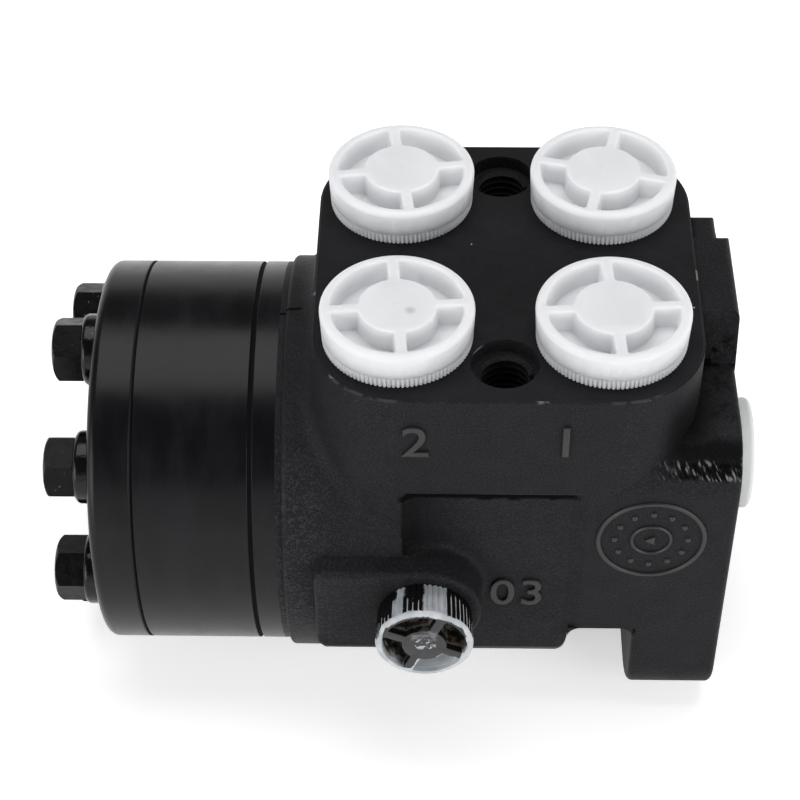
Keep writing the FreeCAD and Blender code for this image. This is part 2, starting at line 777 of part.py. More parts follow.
def control_spool():
    """The inner spool, with its splined neck, spring slot, pin slot and axial grooves."""
    left = sleeve_left_x + spool_inset
    profile = [(left, spool_bore_r), (left, spool_r), (sleeve_right_x, spool_r), (sleeve_right_x, neck_r),
               (-neck_end - neck_chamfer, neck_r), (-neck_end, neck_r - neck_chamfer), (-neck_end, 0),
               (-spool_bore_end, 0), (-spool_bore_end, spool_bore_r)]
    spool = turned_x(profile)
    half_root, half_tip = tooth_halves(spline_minor_r, spline_major_r, spline_teeth)
    section = spline_section(-neck_end - spline_depth, spline_teeth, spline_minor_r, spline_major_r,
                             half_root, half_tip)
    travel = spool_r * math.sin(math.radians(spool_travel_deg))
    half_slot = (pin_r + travel) / math.cos(math.radians(spool_travel_deg)) + pin_slot_gap
    cuts = [prism(section, V(spline_depth + past, 0, 0)),
            block(-pin_x - pin_r - pin_slot_gap, -pin_x + pin_r + pin_slot_gap, -bore_r, bore_r,
                  -half_slot, half_slot),
            block(-slot_from, -slot_to, -slot_half, slot_half, -bore_r, bore_r)]
    groove = block(-spool_groove_len / 2, spool_groove_len / 2, -spool_groove_w / 2, spool_groove_w / 2,
                   spool_r - spool_groove_depth, spool_r + past)
    for x, start in ((groove_places()[1], 0.0), (groove_places()[3], 30.0)):
        placed = groove.copy()
        placed.translate(V(x, 0, 0))
        cuts += around_x(placed, 6, start)
    return spool.cut(cuts)


def cross_pin():
    reach = sleeve_r - pin_end_gap
    pin = bar_y(pin_r, -reach, reach, -pin_x, 0)
    return pin.makeChamfer(pin_chamfer, edges_where(pin, lambda p: near(abs(p.y), reach)))


def centring_springs():
    """Two flat leaves between two pairs of bowed ones, across the spool and the sleeve."""
    half_len = sleeve_r - ring_recess - leaf_end_gap
    left = -slot_from + leaf_edge_gap
    width = slot_from - slot_to - 2 * leaf_edge_gap
    leaves = []
    for side in (-1, 1):
        flat = sorted((side * leaf_gap / 2, side * (leaf_gap / 2 + leaf_t)))
        leaves.append(block(left, left + width, *flat, -half_len, half_len))
        for layer in (1, 2):
            base = layer * (leaf_t + leaf_gap)
            inner = [V(left, side * (base + leaf_bow), -half_len), V(left, side * base, 0),
                     V(left, side * (base + leaf_bow), half_len)]
            outer = [V(p.x, p.y + side * (leaf_t - leaf_gap), p.z) for p in inner]
            edges = [Part.Arc(*inner).toShape(), Part.LineSegment(inner[2], outer[2]).toShape(),
                     Part.Arc(outer[2], outer[1], outer[0]).toShape(),
                     Part.LineSegment(outer[0], inner[0]).toShape()]
            leaves.append(Part.Face(Part.Wire(edges)).extrude(V(width, 0, 0)))
    return Part.makeCompound(leaves)


def bearing_outer_race():
    return tube_x(race_out_r, race_in_r, -shoulder_x - race_t, -shoulder_x)


def bearing_inner_race():
    return tube_x(race_out_r, race_in_r, inner_race_x - race_t, inner_race_x)


def needle_radius_span():
    middle = (race_out_r + cage_in_r) / 2
    return middle - needle_len / 2, middle + needle_len / 2


def bearing_cage():
    """The needle cage, a flat ring with one pocket for each needle."""
    cage = tube_x(race_out_r - cage_gap, cage_in_r, needle_x - cage_t / 2, needle_x + cage_t / 2)
    low, high = needle_radius_span()
    half = needle_r + pocket_gap
    pocket = block(needle_x - cage_t, needle_x + cage_t, -half, half, low - pocket_gap, high + pocket_gap)
    return cage.cut(around_x(pocket, needle_count))


def bearing_needles():
    low, high = needle_radius_span()
    needle = bar_z(needle_r, low, high, needle_x, 0)
    return Part.makeCompound(around_x(needle, needle_count))


def shaft_seal():
    """The pressure seal round the spool's neck: an outer ring and a thinner lip."""
    left = -shoulder_x + seal_end_gap
    right = -shoulder_x + shaft_seal_w - seal_end_gap
    outer = shaft_seal_r - seal_gap
    inner = neck_r + seal_gap
    return turned_x([(left, outer), (left, inner + seal_lip), (left + seal_lip, inner),
                     (right - seal_lip, inner), (right, inner + seal_lip), (right, outer)])


def dust_seal():
    """The wiper in the flange face."""
    outer = dust_seal_r - seal_gap
    inner = neck_r + seal_gap
    left = -dust_seal_w + seal_gap
    return turned_x([(left, outer), (left, inner + dust_lip), (-neck_end, inner),
                     (-dust_face_gap, inner + dust_lip), (-dust_face_gap, outer)])


def oring(face, inward):
    """A round seal pressed nearly flat in its groove."""
    near_x, far_x = sorted((face + inward * oring_face_gap, face + inward * (oring_depth - oring_gap)))
    inner = oring_r - oring_w / 2 + oring_gap
    outer = oring_r + oring_w / 2 - oring_gap
    return turned_x([(near_x, inner + oring_bevel), (near_x + oring_bevel, inner),
                     (far_x - oring_bevel, inner), (far_x, inner + oring_bevel),
                     (far_x, outer - oring_bevel), (far_x - oring_bevel, outer),
                     (near_x + oring_bevel, outer), (near_x, outer - oring_bevel)])


def shipping_plug(head_r, head_h, hub_r, rim, spoke, pocket, stem_r, stem_len):
    """A plastic plug seated on z = 0: four pockets round a flush hub, and a hollow stem below."""
    base = plug_seat_gap
    top = base + head_h
    low_r = head_r - plug_draft
    head = revolved([V(0, 0, base), V(low_r - plug_foot, 0, base), V(low_r, 0, base + plug_foot),
                     V(head_r, 0, top), V(0, 0, top)], V(0, 0, 0), V(0, 0, 1))
    rim_edge = edges_where(head, lambda p: near(p.z, top) and near(math.hypot(p.x, p.y), head_r))
    head = head.makeFillet(plug_round, rim_edge)
    stem = bar_z(stem_r, -stem_len, base + past, 0, 0)
    floor = top - pocket
    hollow = bar_z(stem_r - plug_wall, -stem_len - past, floor - plug_web, 0, 0)
    pockets = bar_z(head_r - rim, floor, top + past, 0, 0).cut(bar_z(hub_r, floor, top + past, 0, 0))
    reach = head_r + past
    spokes = [block(-reach, reach, -spoke / 2, spoke / 2, 0, top + past),
              block(-spoke / 2, spoke / 2, -reach, reach, 0, top + past)]
    return head.fuse(stem).removeSplitter().cut([hollow, pockets.cut(spokes)])


def port_plug(column, row):
    turn = port_plug_turns[row + "_" + column]
    plug = shipping_plug(port_plug_r, port_plug_h, port_plug_hub_r, port_plug_rim, port_plug_spoke,
                         port_plug_pocket, port_r - plug_stem_gap, port_plug_stem)
    plug.rotate(V(0, 0, 0), V(0, 0, 1), turn)
    plug.translate(V(port_xs[column], port_ys[row], pad_z))
    return plug


def signal_port_plug():
    plug = shipping_plug(signal_plug_r, signal_plug_h, signal_plug_hub_r, signal_plug_rim, signal_plug_spoke,
                         signal_plug_pocket, signal_r - plug_stem_gap, signal_plug_stem)
    plug.rotate(V(0, 0, 0), V(0, 0, 1), signal_plug_turn)
    plug.rotate(V(0, 0, 0), V(1, 0, 0), 90)
    plug.translate(V(-boss_x, -boss_y, 0))
    return plug


def shaft_plug():
    plug = shipping_plug(shaft_plug_r, shaft_plug_h, shaft_plug_hub_r, shaft_plug_rim, shaft_plug_spoke,
                         shaft_plug_pocket, spline_minor_r - plug_stem_gap, shaft_plug_stem)
    plug.rotate(V(0, 0, 0), V(0, 1, 0), 90)
    return plug


def all_parts():
    parts = {
        "housing": housing(),
        "distributor_plate": distributor_plate(),
        "gear_ring": gear_ring(),
        "gear_rotor": gear_rotor(),
        "spacer": spacer(),
        "cardan_shaft": cardan_shaft(),
        "end_cover": end_cover(),
        "cover_bolts": cover_bolts(),
        "check_valve_screw": check_valve_screw(),
        "cover_washers": cover_washers(),
        "check_valve_seat": check_valve_seat(),
        "check_valve_ball": check_valve_ball(),
        "control_sleeve": control_sleeve(),
        "control_spool": control_spool(),
        "cross_pin": cross_pin(),
        "centring_springs": centring_springs(),
        "spring_ring": spring_ring(),
        "bearing_outer_race": bearing_outer_race(),
        "bearing_cage": bearing_cage(),
        "bearing_needles": bearing_needles(),
        "bearing_inner_race": bearing_inner_race(),
        "shaft_seal": shaft_seal(),
        "dust_seal": dust_seal(),
        "housing_oring": oring(plate_x, 1),
        "ring_oring_plate_side": oring(gear_x, -1),
        "ring_oring_cover_side": oring(cover_x, 1),
        "signal_port_plug": signal_port_plug(),
        "shaft_plug": shaft_plug(),
    }
    for column in port_xs:
        for row in port_ys:
            parts["port_plug_" + row + "_" + column] = port_plug(column, row)
    return parts


os.makedirs("parts", exist_ok=True)
for name, shape in all_parts().items():
    shape.exportStep(os.path.join("parts", name + ".step"))
    print(name, "solids", len(shape.Solids), "valid", shape.isValid(), "volume", round(shape.Volume, 1))
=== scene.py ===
import bpy
import bmesh
import math
from bpy.props import FloatProperty, FloatVectorProperty, IntProperty, PointerProperty
from mathutils import Matrix, Vector


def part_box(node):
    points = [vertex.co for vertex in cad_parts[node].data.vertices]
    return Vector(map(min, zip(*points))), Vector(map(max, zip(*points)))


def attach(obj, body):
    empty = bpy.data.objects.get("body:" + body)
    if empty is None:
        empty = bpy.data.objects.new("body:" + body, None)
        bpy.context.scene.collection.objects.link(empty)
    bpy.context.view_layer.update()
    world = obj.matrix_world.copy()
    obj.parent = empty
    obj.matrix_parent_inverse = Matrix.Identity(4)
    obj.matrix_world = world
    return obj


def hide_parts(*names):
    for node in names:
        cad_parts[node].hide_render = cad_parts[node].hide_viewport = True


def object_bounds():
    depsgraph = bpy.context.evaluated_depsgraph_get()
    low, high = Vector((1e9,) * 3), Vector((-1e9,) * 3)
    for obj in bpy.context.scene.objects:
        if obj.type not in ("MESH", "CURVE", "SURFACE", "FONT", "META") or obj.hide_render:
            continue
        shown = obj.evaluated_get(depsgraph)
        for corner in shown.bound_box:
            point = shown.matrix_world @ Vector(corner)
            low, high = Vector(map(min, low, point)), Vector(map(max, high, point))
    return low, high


bl_info = {
    "name": "Steering metering pump",
    "version": (1, 0, 0),
    "blender": (4, 5, 0),
    "location": "View3D > Sidebar > Metering pump",
    "description": "Finishes, moulded plugs, threads and cast marks of a steering metering pump",
    "category": "Object",
}

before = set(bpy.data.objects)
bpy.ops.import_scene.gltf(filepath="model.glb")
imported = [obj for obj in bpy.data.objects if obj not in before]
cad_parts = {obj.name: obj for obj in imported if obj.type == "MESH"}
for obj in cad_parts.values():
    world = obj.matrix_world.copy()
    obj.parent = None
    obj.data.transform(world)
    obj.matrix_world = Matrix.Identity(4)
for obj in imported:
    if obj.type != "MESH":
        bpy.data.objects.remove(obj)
cad_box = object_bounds()

MM = 0.001
FULL_TURN = 2 * math.pi
QUARTER_TURN = math.radians(90)

# How near two places count as the same, in a merge, a cut and a height
MERGE_STEP = 0.001 * MM
CUT_STEP = 0.0001 * MM
LEVEL_STEP = 0.01 * MM
NEAR_STEP = 0.1 * MM

# Faces of the casting, from the heads of the plugs that stand on them
PORT_PLUG_HEAD = 8.9 * MM
SIGNAL_PLUG_HEAD = 9.0 * MM
PORT_FACE_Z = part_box("port_plug_near_left")[1].z - PORT_PLUG_HEAD
FRONT_PLANE_Y = -42.0 * MM
SIGNAL_BOSS_Y = -40.5 * MM

# Radius and pitch of the threads, and where their holes stand
M12_THREAD = (6.0 * MM, 1.75 * MM)
M10_THREAD = (5.0 * MM, 1.5 * MM)
THREAD_TURNS = 8.5
STEPS_PER_TURN = 40
PORT_THREAD_Y = 30.7 * MM
FIXING_CIRCLE = 82.5 * MM

PLUG_CORNER = math.radians(50)
PLUG_FACE_SPAN = 40 * MM
POINTS_PER_TOOTH = 3
NEAR_BRUISE = (-70.4 * MM, -24.2 * MM, 67.1 * MM)
FAR_BRUISE = (-36.5 * MM, 17.0 * MM, 66.2 * MM)
LAMP_TARGET = (-0.06, 0.0, 0.0)

GEAR_SET_NODES = ("gear_ring", "distributor_plate", "end_cover")
SCREW_NODES = ("cover_bolts", "check_valve_screw")
RUBBER_NODES = ("shaft_seal", "dust_seal", "housing_oring", "ring_oring_plate_side",
                "ring_oring_cover_side")
STEEL_NODES = ("gear_rotor", "spacer", "cardan_shaft", "check_valve_seat", "check_valve_ball",
               "control_sleeve", "control_spool", "cross_pin", "centring_springs", "spring_ring",
               "bearing_outer_race", "bearing_cage", "bearing_needles", "bearing_inner_race")


class PumpLooks(bpy.types.PropertyGroup):
    """Colours and grain of the painted surfaces."""

    casting_colour: FloatVectorProperty(
        name="Casting", description="Satin black paint over the casting",
        default=(0.0122, 0.0121, 0.0135), size=3, subtype="COLOR", min=0.0, max=1.0)
    gear_set_colour: FloatVectorProperty(
        name="Gear set", description="Glossy black paint over the ground gear set",
        default=(0.0032, 0.0031, 0.0040), size=3, subtype="COLOR", min=0.0, max=1.0)
    plug_colour: FloatVectorProperty(
        name="Plugs", description="Milky polyethylene of the shipping plugs",
        default=(0.815, 0.822, 0.835), size=3, subtype="COLOR", min=0.0, max=1.0)
    grain_depth: FloatProperty(
        name="Grain depth", description="Depth of the casting's sand grain",
        default=0.00013, min=0.0, max=0.002, unit="LENGTH", precision=5)


class PumpPlugs(bpy.types.PropertyGroup):
    """Moulded form of the shipping plugs."""

    knurl_teeth: IntProperty(
        name="Knurl teeth", description="Fine teeth round a port plug's skirt",
        default=104, min=12, max=400)
    knurl_depth: FloatProperty(
        name="Knurl depth", description="Depth of the fine teeth",
        default=0.00042, min=0.0, max=0.002, unit="LENGTH", precision=5)
    edge_round: FloatProperty(
        name="Moulded edge", description="Radius of the soft edges round the pockets",
        default=0.00075, min=0.0, max=0.002, unit="LENGTH", precision=5)
    small_teeth: IntProperty(
        name="Small plug teeth", description="Coarse teeth round the signal port's plug",
        default=54, min=12, max=400)


class PumpStage(bpy.types.PropertyGroup):
    """Camera and lamps."""

    camera_place: FloatVectorProperty(
        name="Camera", description="Place of the camera",
        default=(-0.0631, -0.33794, 0.35545), size=3, subtype="XYZ", unit="LENGTH", precision=5)
    camera_yaw: FloatProperty(
        name="Yaw", description="Turn of the camera about the vertical",
        default=math.radians(1.765), subtype="ANGLE")
    camera_pitch: FloatProperty(
        name="Pitch", description="Tilt of the camera below the horizon",
        default=math.radians(45.057), subtype="ANGLE")
    camera_roll: FloatProperty(
        name="Roll", description="Turn of the picture",
        default=math.radians(-0.82), subtype="ANGLE")
    camera_lens: FloatProperty(
        name="Lens", description="Focal length for a 36 mm sensor",
        default=92.84, min=20.0, max=300.0, unit="CAMERA")
    top_power: FloatProperty(
        name="Top lamp", description="Power of the soft lamp overhead",
        default=3.42, min=0.0, unit="POWER")
    side_power: FloatProperty(
        name="Side lamps", description="Power of each soft lamp at the sides",
        default=3.45, min=0.0, unit="POWER")


def looks():
    return bpy.context.scene.pump_looks


def plugs():
    return bpy.context.scene.pump_plugs


def stage():
    return bpy.context.scene.pump_stage


def node(tree, kind, **settings):
    """A new shader node; settings whose names are sockets set those, the others are its own."""
    made = tree.nodes.new(kind)
    for name, value in settings.items():
        label = name.replace("_", " ").title()
        if label in made.inputs:
            made.inputs[label].default_value = value
        else:
            setattr(made, name, value)
    return made


def feed(tree, socket, term):
    """Links a socket to another, or gives it a number or a colour of its own."""
    if isinstance(term, bpy.types.NodeSocket):
        tree.links.new(term, socket)
    else:
        socket.default_value = (*term, 1.0) if isinstance(term, tuple) else term


def maths(tree, operation, *terms):
    """A Math node; each term is a number or an output socket."""
    made = node(tree, "ShaderNodeMath", operation=operation)
    for socket, term in zip(made.inputs, terms):
        feed(tree, socket, term)
    return made.outputs[0]


def plus(tree, first, second):
    return maths(tree, "ADD", first, second)


def minus(tree, first, second):
    return maths(tree, "SUBTRACT", first, second)


def times(tree, first, *others):
    """The product of its terms, taken in their order."""
    for other in others:
        first = maths(tree, "MULTIPLY", first, other)
    return first


def most(tree, first, *others):
    """The greatest of its terms."""
    for other in others:
        first = maths(tree, "MAXIMUM", first, other)
    return first


def axes(tree, vector):
    """The X, Y and Z of a vector."""
    parts = node(tree, "ShaderNodeSeparateXYZ")
    tree.links.new(vector, parts.inputs[0])
    return parts.outputs


def ramp(tree, value, low, high):
    """0 below low, 1 above high, smooth between; low may be above high."""
    made = node(tree, "ShaderNodeMapRange", interpolation_type="SMOOTHSTEP", clamp=True)
    tree.links.new(value, made.inputs["Value"])
    made.inputs["From Min"].default_value = min(low, high)
    made.inputs["From Max"].default_value = max(low, high)
    made.inputs["To Min"].default_value = 0.0 if low < high else 1.0
    made.inputs["To Max"].default_value = 1.0 if low < high else 0.0
    return made.outputs["Result"]


def ramp_mm(tree, value, low, high):
    """A ramp along a length, with its ends in mm."""
    return ramp(tree, value, low * MM, high * MM)


def between_mm(tree, value, low, full_low, full_high, high):
    """1 inside a band, fading to 0 at its two outer ends, all in mm."""
    return times(tree, ramp_mm(tree, value, low, full_low), ramp_mm(tree, value, high, full_high))


def blend_value(tree, mask, low, high):
    """A value that goes from low to high with a mask; each may be a number or a socket."""
    made = node(tree, "ShaderNodeMix", data_type="FLOAT")
    for index, term in ((0, mask), (2, low), (3, high)):
        feed(tree, made.inputs[index], term)
    return made.outputs[0]


def blend_colour(tree, mask, low, high):
    """A colour that goes from low to high with a mask; each may be a colour or a socket."""
    made = node(tree, "ShaderNodeMix", data_type="RGBA")
    for index, term in ((0, mask), (6, low), (7, high)):
        feed(tree, made.inputs[index], term)
    return made.outputs[2]


def shades(colour, share):
    """The same colour, lighter or darker."""
    return tuple(share * part for part in colour)


def noise(tree, vector, scale, detail=3.0, roughness=0.55):
    made = node(tree, "ShaderNodeTexNoise", scale=scale, detail=detail, roughness=roughness)
    tree.links.new(vector, made.inputs["Vector"])
    return made.outputs["Fac"]


def scaled(tree, vector, factors):
    made = node(tree, "ShaderNodeVectorMath", operation="MULTIPLY")
    tree.links.new(vector, made.inputs[0])
    made.inputs[1].default_value = factors
    return made.outputs[0]


def merged(tree, x, y, z=0.0):
    """A vector from its three parts."""
    made = node(tree, "ShaderNodeCombineXYZ")
    for socket, term in zip(made.inputs, (x, y, z)):
        feed(tree, socket, term)
    return made.outputs[0]


def leaning_streaks(tree, vector, scale, lean, stretch):
    """Noise drawn out along Y and Z, leaning along X as it rises."""
    x, y, z = axes(tree, vector)
    leaning = plus(tree, x, times(tree, z, lean))
    drawn = merged(tree, leaning, times(tree, y, stretch), times(tree, z, stretch))
    return noise(tree, drawn, scale, 2.0)


def new_group(name, inputs, outputs):
    """An empty shader node group with float sockets, a Vector input and its two end nodes."""
    group = bpy.data.node_groups.new(name, "ShaderNodeTree")
    group.interface.new_socket("Vector", in_out="INPUT", socket_type="NodeSocketVector")
    for label, value in inputs.items():
        socket = group.interface.new_socket(label, in_out="INPUT", socket_type="NodeSocketFloat")
        socket.default_value = value
    for label in outputs:
        group.interface.new_socket(label, in_out="OUTPUT", socket_type="NodeSocketFloat")
    start = group.nodes.new("NodeGroupInput")
    end = group.nodes.new("NodeGroupOutput")
    return group, start, end


def sand_grain_group():
    """Sand-cast skin: fine grain over slow swells, with small pits."""
    group, start, end = new_group("Sand grain", {"Fine": 1300.0, "Coarse": 260.0, "Pits": 0.5},
                                  ("Height", "Tone"))
    vector = start.outputs["Vector"]
    fine = node(group, "ShaderNodeTexNoise", detail=2.0, roughness=0.5)
    group.links.new(vector, fine.inputs["Vector"])
    group.links.new(start.outputs["Fine"], fine.inputs["Scale"])
    coarse = node(group, "ShaderNodeTexNoise", detail=3.0, roughness=0.5)
    group.links.new(vector, coarse.inputs["Vector"])
    group.links.new(start.outputs["Coarse"], coarse.inputs["Scale"])
    pits = node(group, "ShaderNodeTexVoronoi", feature="F1")
    group.links.new(vector, pits.inputs["Vector"])
    group.links.new(times(group, start.outputs["Fine"], 0.45), pits.inputs["Scale"])
    pit = ramp(group, pits.outputs["Distance"], 0.34, 0.08)
    sparse = ramp(group, coarse.outputs["Fac"], 0.5, 0.68)
    pit = times(group, pit, sparse, start.outputs["Pits"])
    grain = plus(group, fine.outputs["Fac"], times(group, coarse.outputs["Fac"], 1.5))
    group.links.new(minus(group, grain, pit), end.inputs["Height"])
    group.links.new(coarse.outputs["Fac"], end.inputs["Tone"])
    return group


def dust_specks_group():
    """Scattered pale specks of dust."""
    group, start, end = new_group("Dust specks", {"Scale": 220.0, "Size": 0.035, "Share": 0.12},
                                  ("Mask",))
    cells = node(group, "ShaderNodeTexVoronoi", feature="F1")
    group.links.new(start.outputs["Vector"], cells.inputs["Vector"])
    group.links.new(start.outputs["Scale"], cells.inputs["Scale"])
    parts = node(group, "ShaderNodeSeparateColor")
    group.links.new(cells.outputs["Color"], parts.inputs[0])
    chosen = maths(group, "LESS_THAN", parts.outputs[0], start.outputs["Share"])
    size = times(group, start.outputs["Size"], plus(group, parts.outputs[1], 0.4))
    inside = maths(group, "LESS_THAN", cells.outputs["Distance"], size)
    group.links.new(times(group, chosen, inside), end.inputs["Mask"])
    return group


def turned_lines_group():
    """Fine lines that run round the shaft's axis, as turning and wiping leave them."""
    group, start, end = new_group("Turned lines", {"Lines": 2600.0}, ("Height", "Smear"))
    x, y, z = axes(group, start.outputs["Vector"])
    along = times(group, x, start.outputs["Lines"])
    turn = maths(group, "ARCTAN2", y, z)
    lines = noise(group, merged(group, along, turn), 1.0, 2.0)
    slow = merged(group, times(group, along, 0.06), times(group, turn, 2.2))
    smear = noise(group, slow, 1.0, 3.0)
    group.links.new(lines, end.inputs["Height"])
    group.links.new(smear, end.inputs["Smear"])
    return group


def place_group(tree, group, vector, **values):
    """A group node in a material, with its own values."""
    made = tree.nodes.new("ShaderNodeGroup")
    made.node_tree = bpy.data.node_groups[group]
    tree.links.new(vector, made.inputs["Vector"])
    for label, value in values.items():
        made.inputs[label].default_value = value
    return made


def material(name):
    """An empty node material; returns it with its tree, its main shader and object coordinates."""
    made = bpy.data.materials.new(name)
    made.use_nodes = True
    tree = made.node_tree
    shader = tree.nodes["Principled BSDF"]
    coords = tree.nodes.new("ShaderNodeTexCoord").outputs["Object"]
    return made, tree, shader, coords


def bump(tree, shader, height, distance):
    made = node(tree, "ShaderNodeBump", distance=distance)
    tree.links.new(height, made.inputs["Height"])
    tree.links.new(made.outputs[0], shader.inputs["Normal"])


def finish(tree, shader, colour, roughness, **sockets):
    """Feeds a shader's colour and roughness, and sets its other sockets."""
    tree.links.new(colour, shader.inputs["Base Color"])
    tree.links.new(roughness, shader.inputs["Roughness"])
    for name, value in sockets.items():
        shader.inputs[name.replace("_", " ")].default_value = value


def casting_paint():
    """Satin black over sand casting: grainy on cast faces, smoother where a face was machined."""
    made, tree, shader, coords = material("casting_paint")
    x, y, z = axes(tree, coords)
    seam_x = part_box("housing")[0].x
    machined = most(tree, ramp(tree, z, PORT_FACE_Z - 0.5 * MM, PORT_FACE_Z - 0.1 * MM),
                    ramp_mm(tree, x, -0.4, -0.05))
    near_seam = times(tree, ramp(tree, x, seam_x + 16 * MM, seam_x + 4 * MM),
                      ramp_mm(tree, z, 40, 20))
    streaks = leaning_streaks(tree, coords, 1500.0, 0.5, 0.26)
    skin = place_group(tree, "Sand grain", coords, Fine=1500.0, Coarse=190.0, Pits=0.6)
    rough_skin = place_group(tree, "Sand grain", coords, Fine=1300.0, Coarse=150.0, Pits=1.0)

    # The torn strip of paint above the front's flat, by the column flange, with a band of painted
    # shade over it
    near_end = times(tree, ramp_mm(tree, x, -20, -12), ramp_mm(tree, y, -32, -35))
    wavy_z = plus(tree, z, times(tree, minus(tree, noise(tree, coords, 210.0), 0.5), 3.0 * MM))
    wrinkled = times(tree, between_mm(tree, wavy_z, 33.6, 34.8, 37.4, 38.2), near_end)
    painted_band_shade = times(tree, between_mm(tree, wavy_z, 37.0, 38.3, 39.3, 41.6), near_end)

    # The mould's parting line on the shoulder behind the gear set, sunk as a groove and darkened
    # with painted shade
    parting = times(tree, between_mm(tree, y, -1.5, -1.15, -0.85, -0.5),
                    times(tree, ramp_mm(tree, x, -94.6, -95.2), ramp_mm(tree, z, 30, 40)))
    height = blend_value(tree, near_seam, skin.outputs["Height"],
                         times(tree, rough_skin.outputs["Height"], 1.5))
    height = plus(tree, height, times(tree, streaks, wrinkled, 3.0))
    height = times(tree, height, blend_value(tree, machined, 1.0, 0.22))
    bump(tree, shader, minus(tree, height, times(tree, parting, 2.0)), looks().grain_depth)

    dark = tuple(looks().casting_colour)
    tone = ramp(tree, skin.outputs["Tone"], 0.3, 0.75)
    colour = blend_colour(tree, tone, dark, shades(dark, 1.25))
    fine = times(tree, ramp(tree, noise(tree, coords, 2500.0, 2.0), 0.42, 0.74),
                 blend_value(tree, machined, 1.0, 0.35))
    colour = blend_colour(tree, fine, colour, shades(dark, 2.3))
    sand = noise(tree, coords, 1250.0, 3.0, 0.7)
    sandy = times(tree, ramp(tree, sand, 0.50, 0.62), near_seam)
    colour = blend_colour(tree, sandy, colour, shades(dark, 3.0))

    # Painted shade, near black: in the hollow of the block's corner by the flange, mottled on the
    # hump behind it, in the parting line's groove, over the torn strip's band, as a painted shadow
    # under the recess's top edge and in the recess's left end
    painted_shade = times(tree, ramp_mm(tree, x, -19, -14), ramp_mm(tree, x, -4, -11),
                  ramp_mm(tree, z, 56, 47), ramp_mm(tree, z, 36, 42), 0.75)
    mottled = ramp(tree, noise(tree, coords, 330.0, 4.0, 0.65), 0.46, 0.60)
    hump_face = times(tree, ramp_mm(tree, x, -12, -9), ramp_mm(tree, y, -2, -8),
                      between_mm(tree, z, 41.5, 42.5, 47, 52))
    rough_line = plus(tree, z, times(tree, minus(tree, mottled, 0.5), 0.5 * MM))
    front_only = ramp_mm(tree, y, -35, -37)
    painted_recess_shadow = times(tree, between_mm(tree, rough_line, 26.9, 27.9, 29.4, 30.1),
                        times(tree, front_only, between_mm(tree, x, -73.5, -72, -36, -33)))
    painted_recess_end_shade = times(tree, between_mm(tree, x, -72.6, -72, -71.5, -57),
                       between_mm(tree, z, 12.6, 13, 28, 30), front_only)
    painted_shade = most(tree, painted_shade, times(tree, painted_band_shade, 0.8), times(tree, hump_face, mottled), parting,
                 painted_recess_shadow, times(tree, painted_recess_end_shade, 0.6))
    colour = blend_colour(tree, painted_shade, colour, (0.0008, 0.0008, 0.0010))
    # Painted shade in the furrows between the torn strip's streaks
    painted_furrow_shade = times(tree, ramp(tree, streaks, 0.58, 0.44), wrinkled)
    colour = blend_colour(tree, painted_furrow_shade, colour, (0.0006, 0.0006, 0.0008))
    # Painted highlights along the torn strip's streaks, standing for the lamps' glints in its
    # glossy wrinkles
    painted_streak_highlight = times(tree, ramp(tree, streaks, 0.56, 0.66), wrinkled)
    colour = blend_colour(tree, painted_streak_highlight, colour, (0.16, 0.16, 0.17))
    specks = place_group(tree, "Dust specks", coords, Scale=190.0, Size=0.045, Share=0.08)
    colour = blend_colour(tree, specks.outputs["Mask"], colour, (0.46, 0.46, 0.45))

    # A painted highlight along the port face's edge at its two near corners, where the chamfer
    # catches the light, and chipped paint all along the edge
    rim = times(tree, ramp(tree, z, PORT_FACE_Z - 0.62 * MM, PORT_FACE_Z - 0.45 * MM),
                ramp(tree, z, PORT_FACE_Z - 0.02 * MM, PORT_FACE_Z - 0.12 * MM))
    wear_and_edge_highlight = most(tree, between_mm(tree, x, -88, -86, -74, -72),
                between_mm(tree, x, -30, -28, -20, -18))
    wear_and_edge_highlight = times(tree, wear_and_edge_highlight, ramp_mm(tree, y, -33, -36),
                 ramp(tree, noise(tree, coords, 420.0, 3.0), 0.36, 0.52))
    chips = ramp(tree, noise(tree, coords, 130.0, 3.0), 0.61, 0.67)
    colour = blend_colour(tree, times(tree, rim, wear_and_edge_highlight), colour, (0.045, 0.045, 0.045))
    colour = blend_colour(tree, times(tree, rim, chips), colour, (0.17, 0.17, 0.165))

    satin = blend_value(tree, noise(tree, coords, 38.0, 3.0), 0.40, 0.62)
    for mask, roughness in ((near_seam, 0.40), (painted_shade, 0.85), (wrinkled, 0.13), (painted_furrow_shade, 0.8)):
        satin = blend_value(tree, mask, satin, roughness)
    finish(tree, shader, colour, satin, Specular_IOR_Level=0.06)
    return made


def gear_set_paint():
    """Glossy black over ground steel, with faint turned lines and wiping smears."""
    made, tree, shader, coords = material("gear_set_paint")
    lines = place_group(tree, "Turned lines", coords, Lines=2400.0)
    swell = noise(tree, coords, 60.0, 2.0)
    x = axes(tree, coords)[0]

    def seam(place, outer, inner):
        return ramp_mm(tree, maths(tree, "ABSOLUTE", minus(tree, x, place)), outer, inner)

    seams = most(tree, seam(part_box("distributor_plate")[0].x, 0.65, 0.38),
                 times(tree, seam(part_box("gear_ring")[0].x, 0.42, 0.18), 0.7))
    height = plus(tree, times(tree, lines.outputs["Height"], 0.16), times(tree, swell, 1.2))
    bump(tree, shader, minus(tree, height, times(tree, seams, 1.6)), 0.00011)
    smear = lines.outputs["Smear"]
    dark = tuple(looks().gear_set_colour)
    colour = blend_colour(tree, ramp(tree, smear, 0.35, 0.7), dark, shades(dark, 1.9))
    specks = place_group(tree, "Dust specks", coords, Scale=230.0, Size=0.028, Share=0.03)
    colour = blend_colour(tree, specks.outputs["Mask"], colour, (0.30, 0.30, 0.30))
    sheen = blend_value(tree, seams, blend_value(tree, smear, 0.17, 0.36), 1.0)
    finish(tree, shader, colour, sheen, Specular_IOR_Level=0.21)
    return made


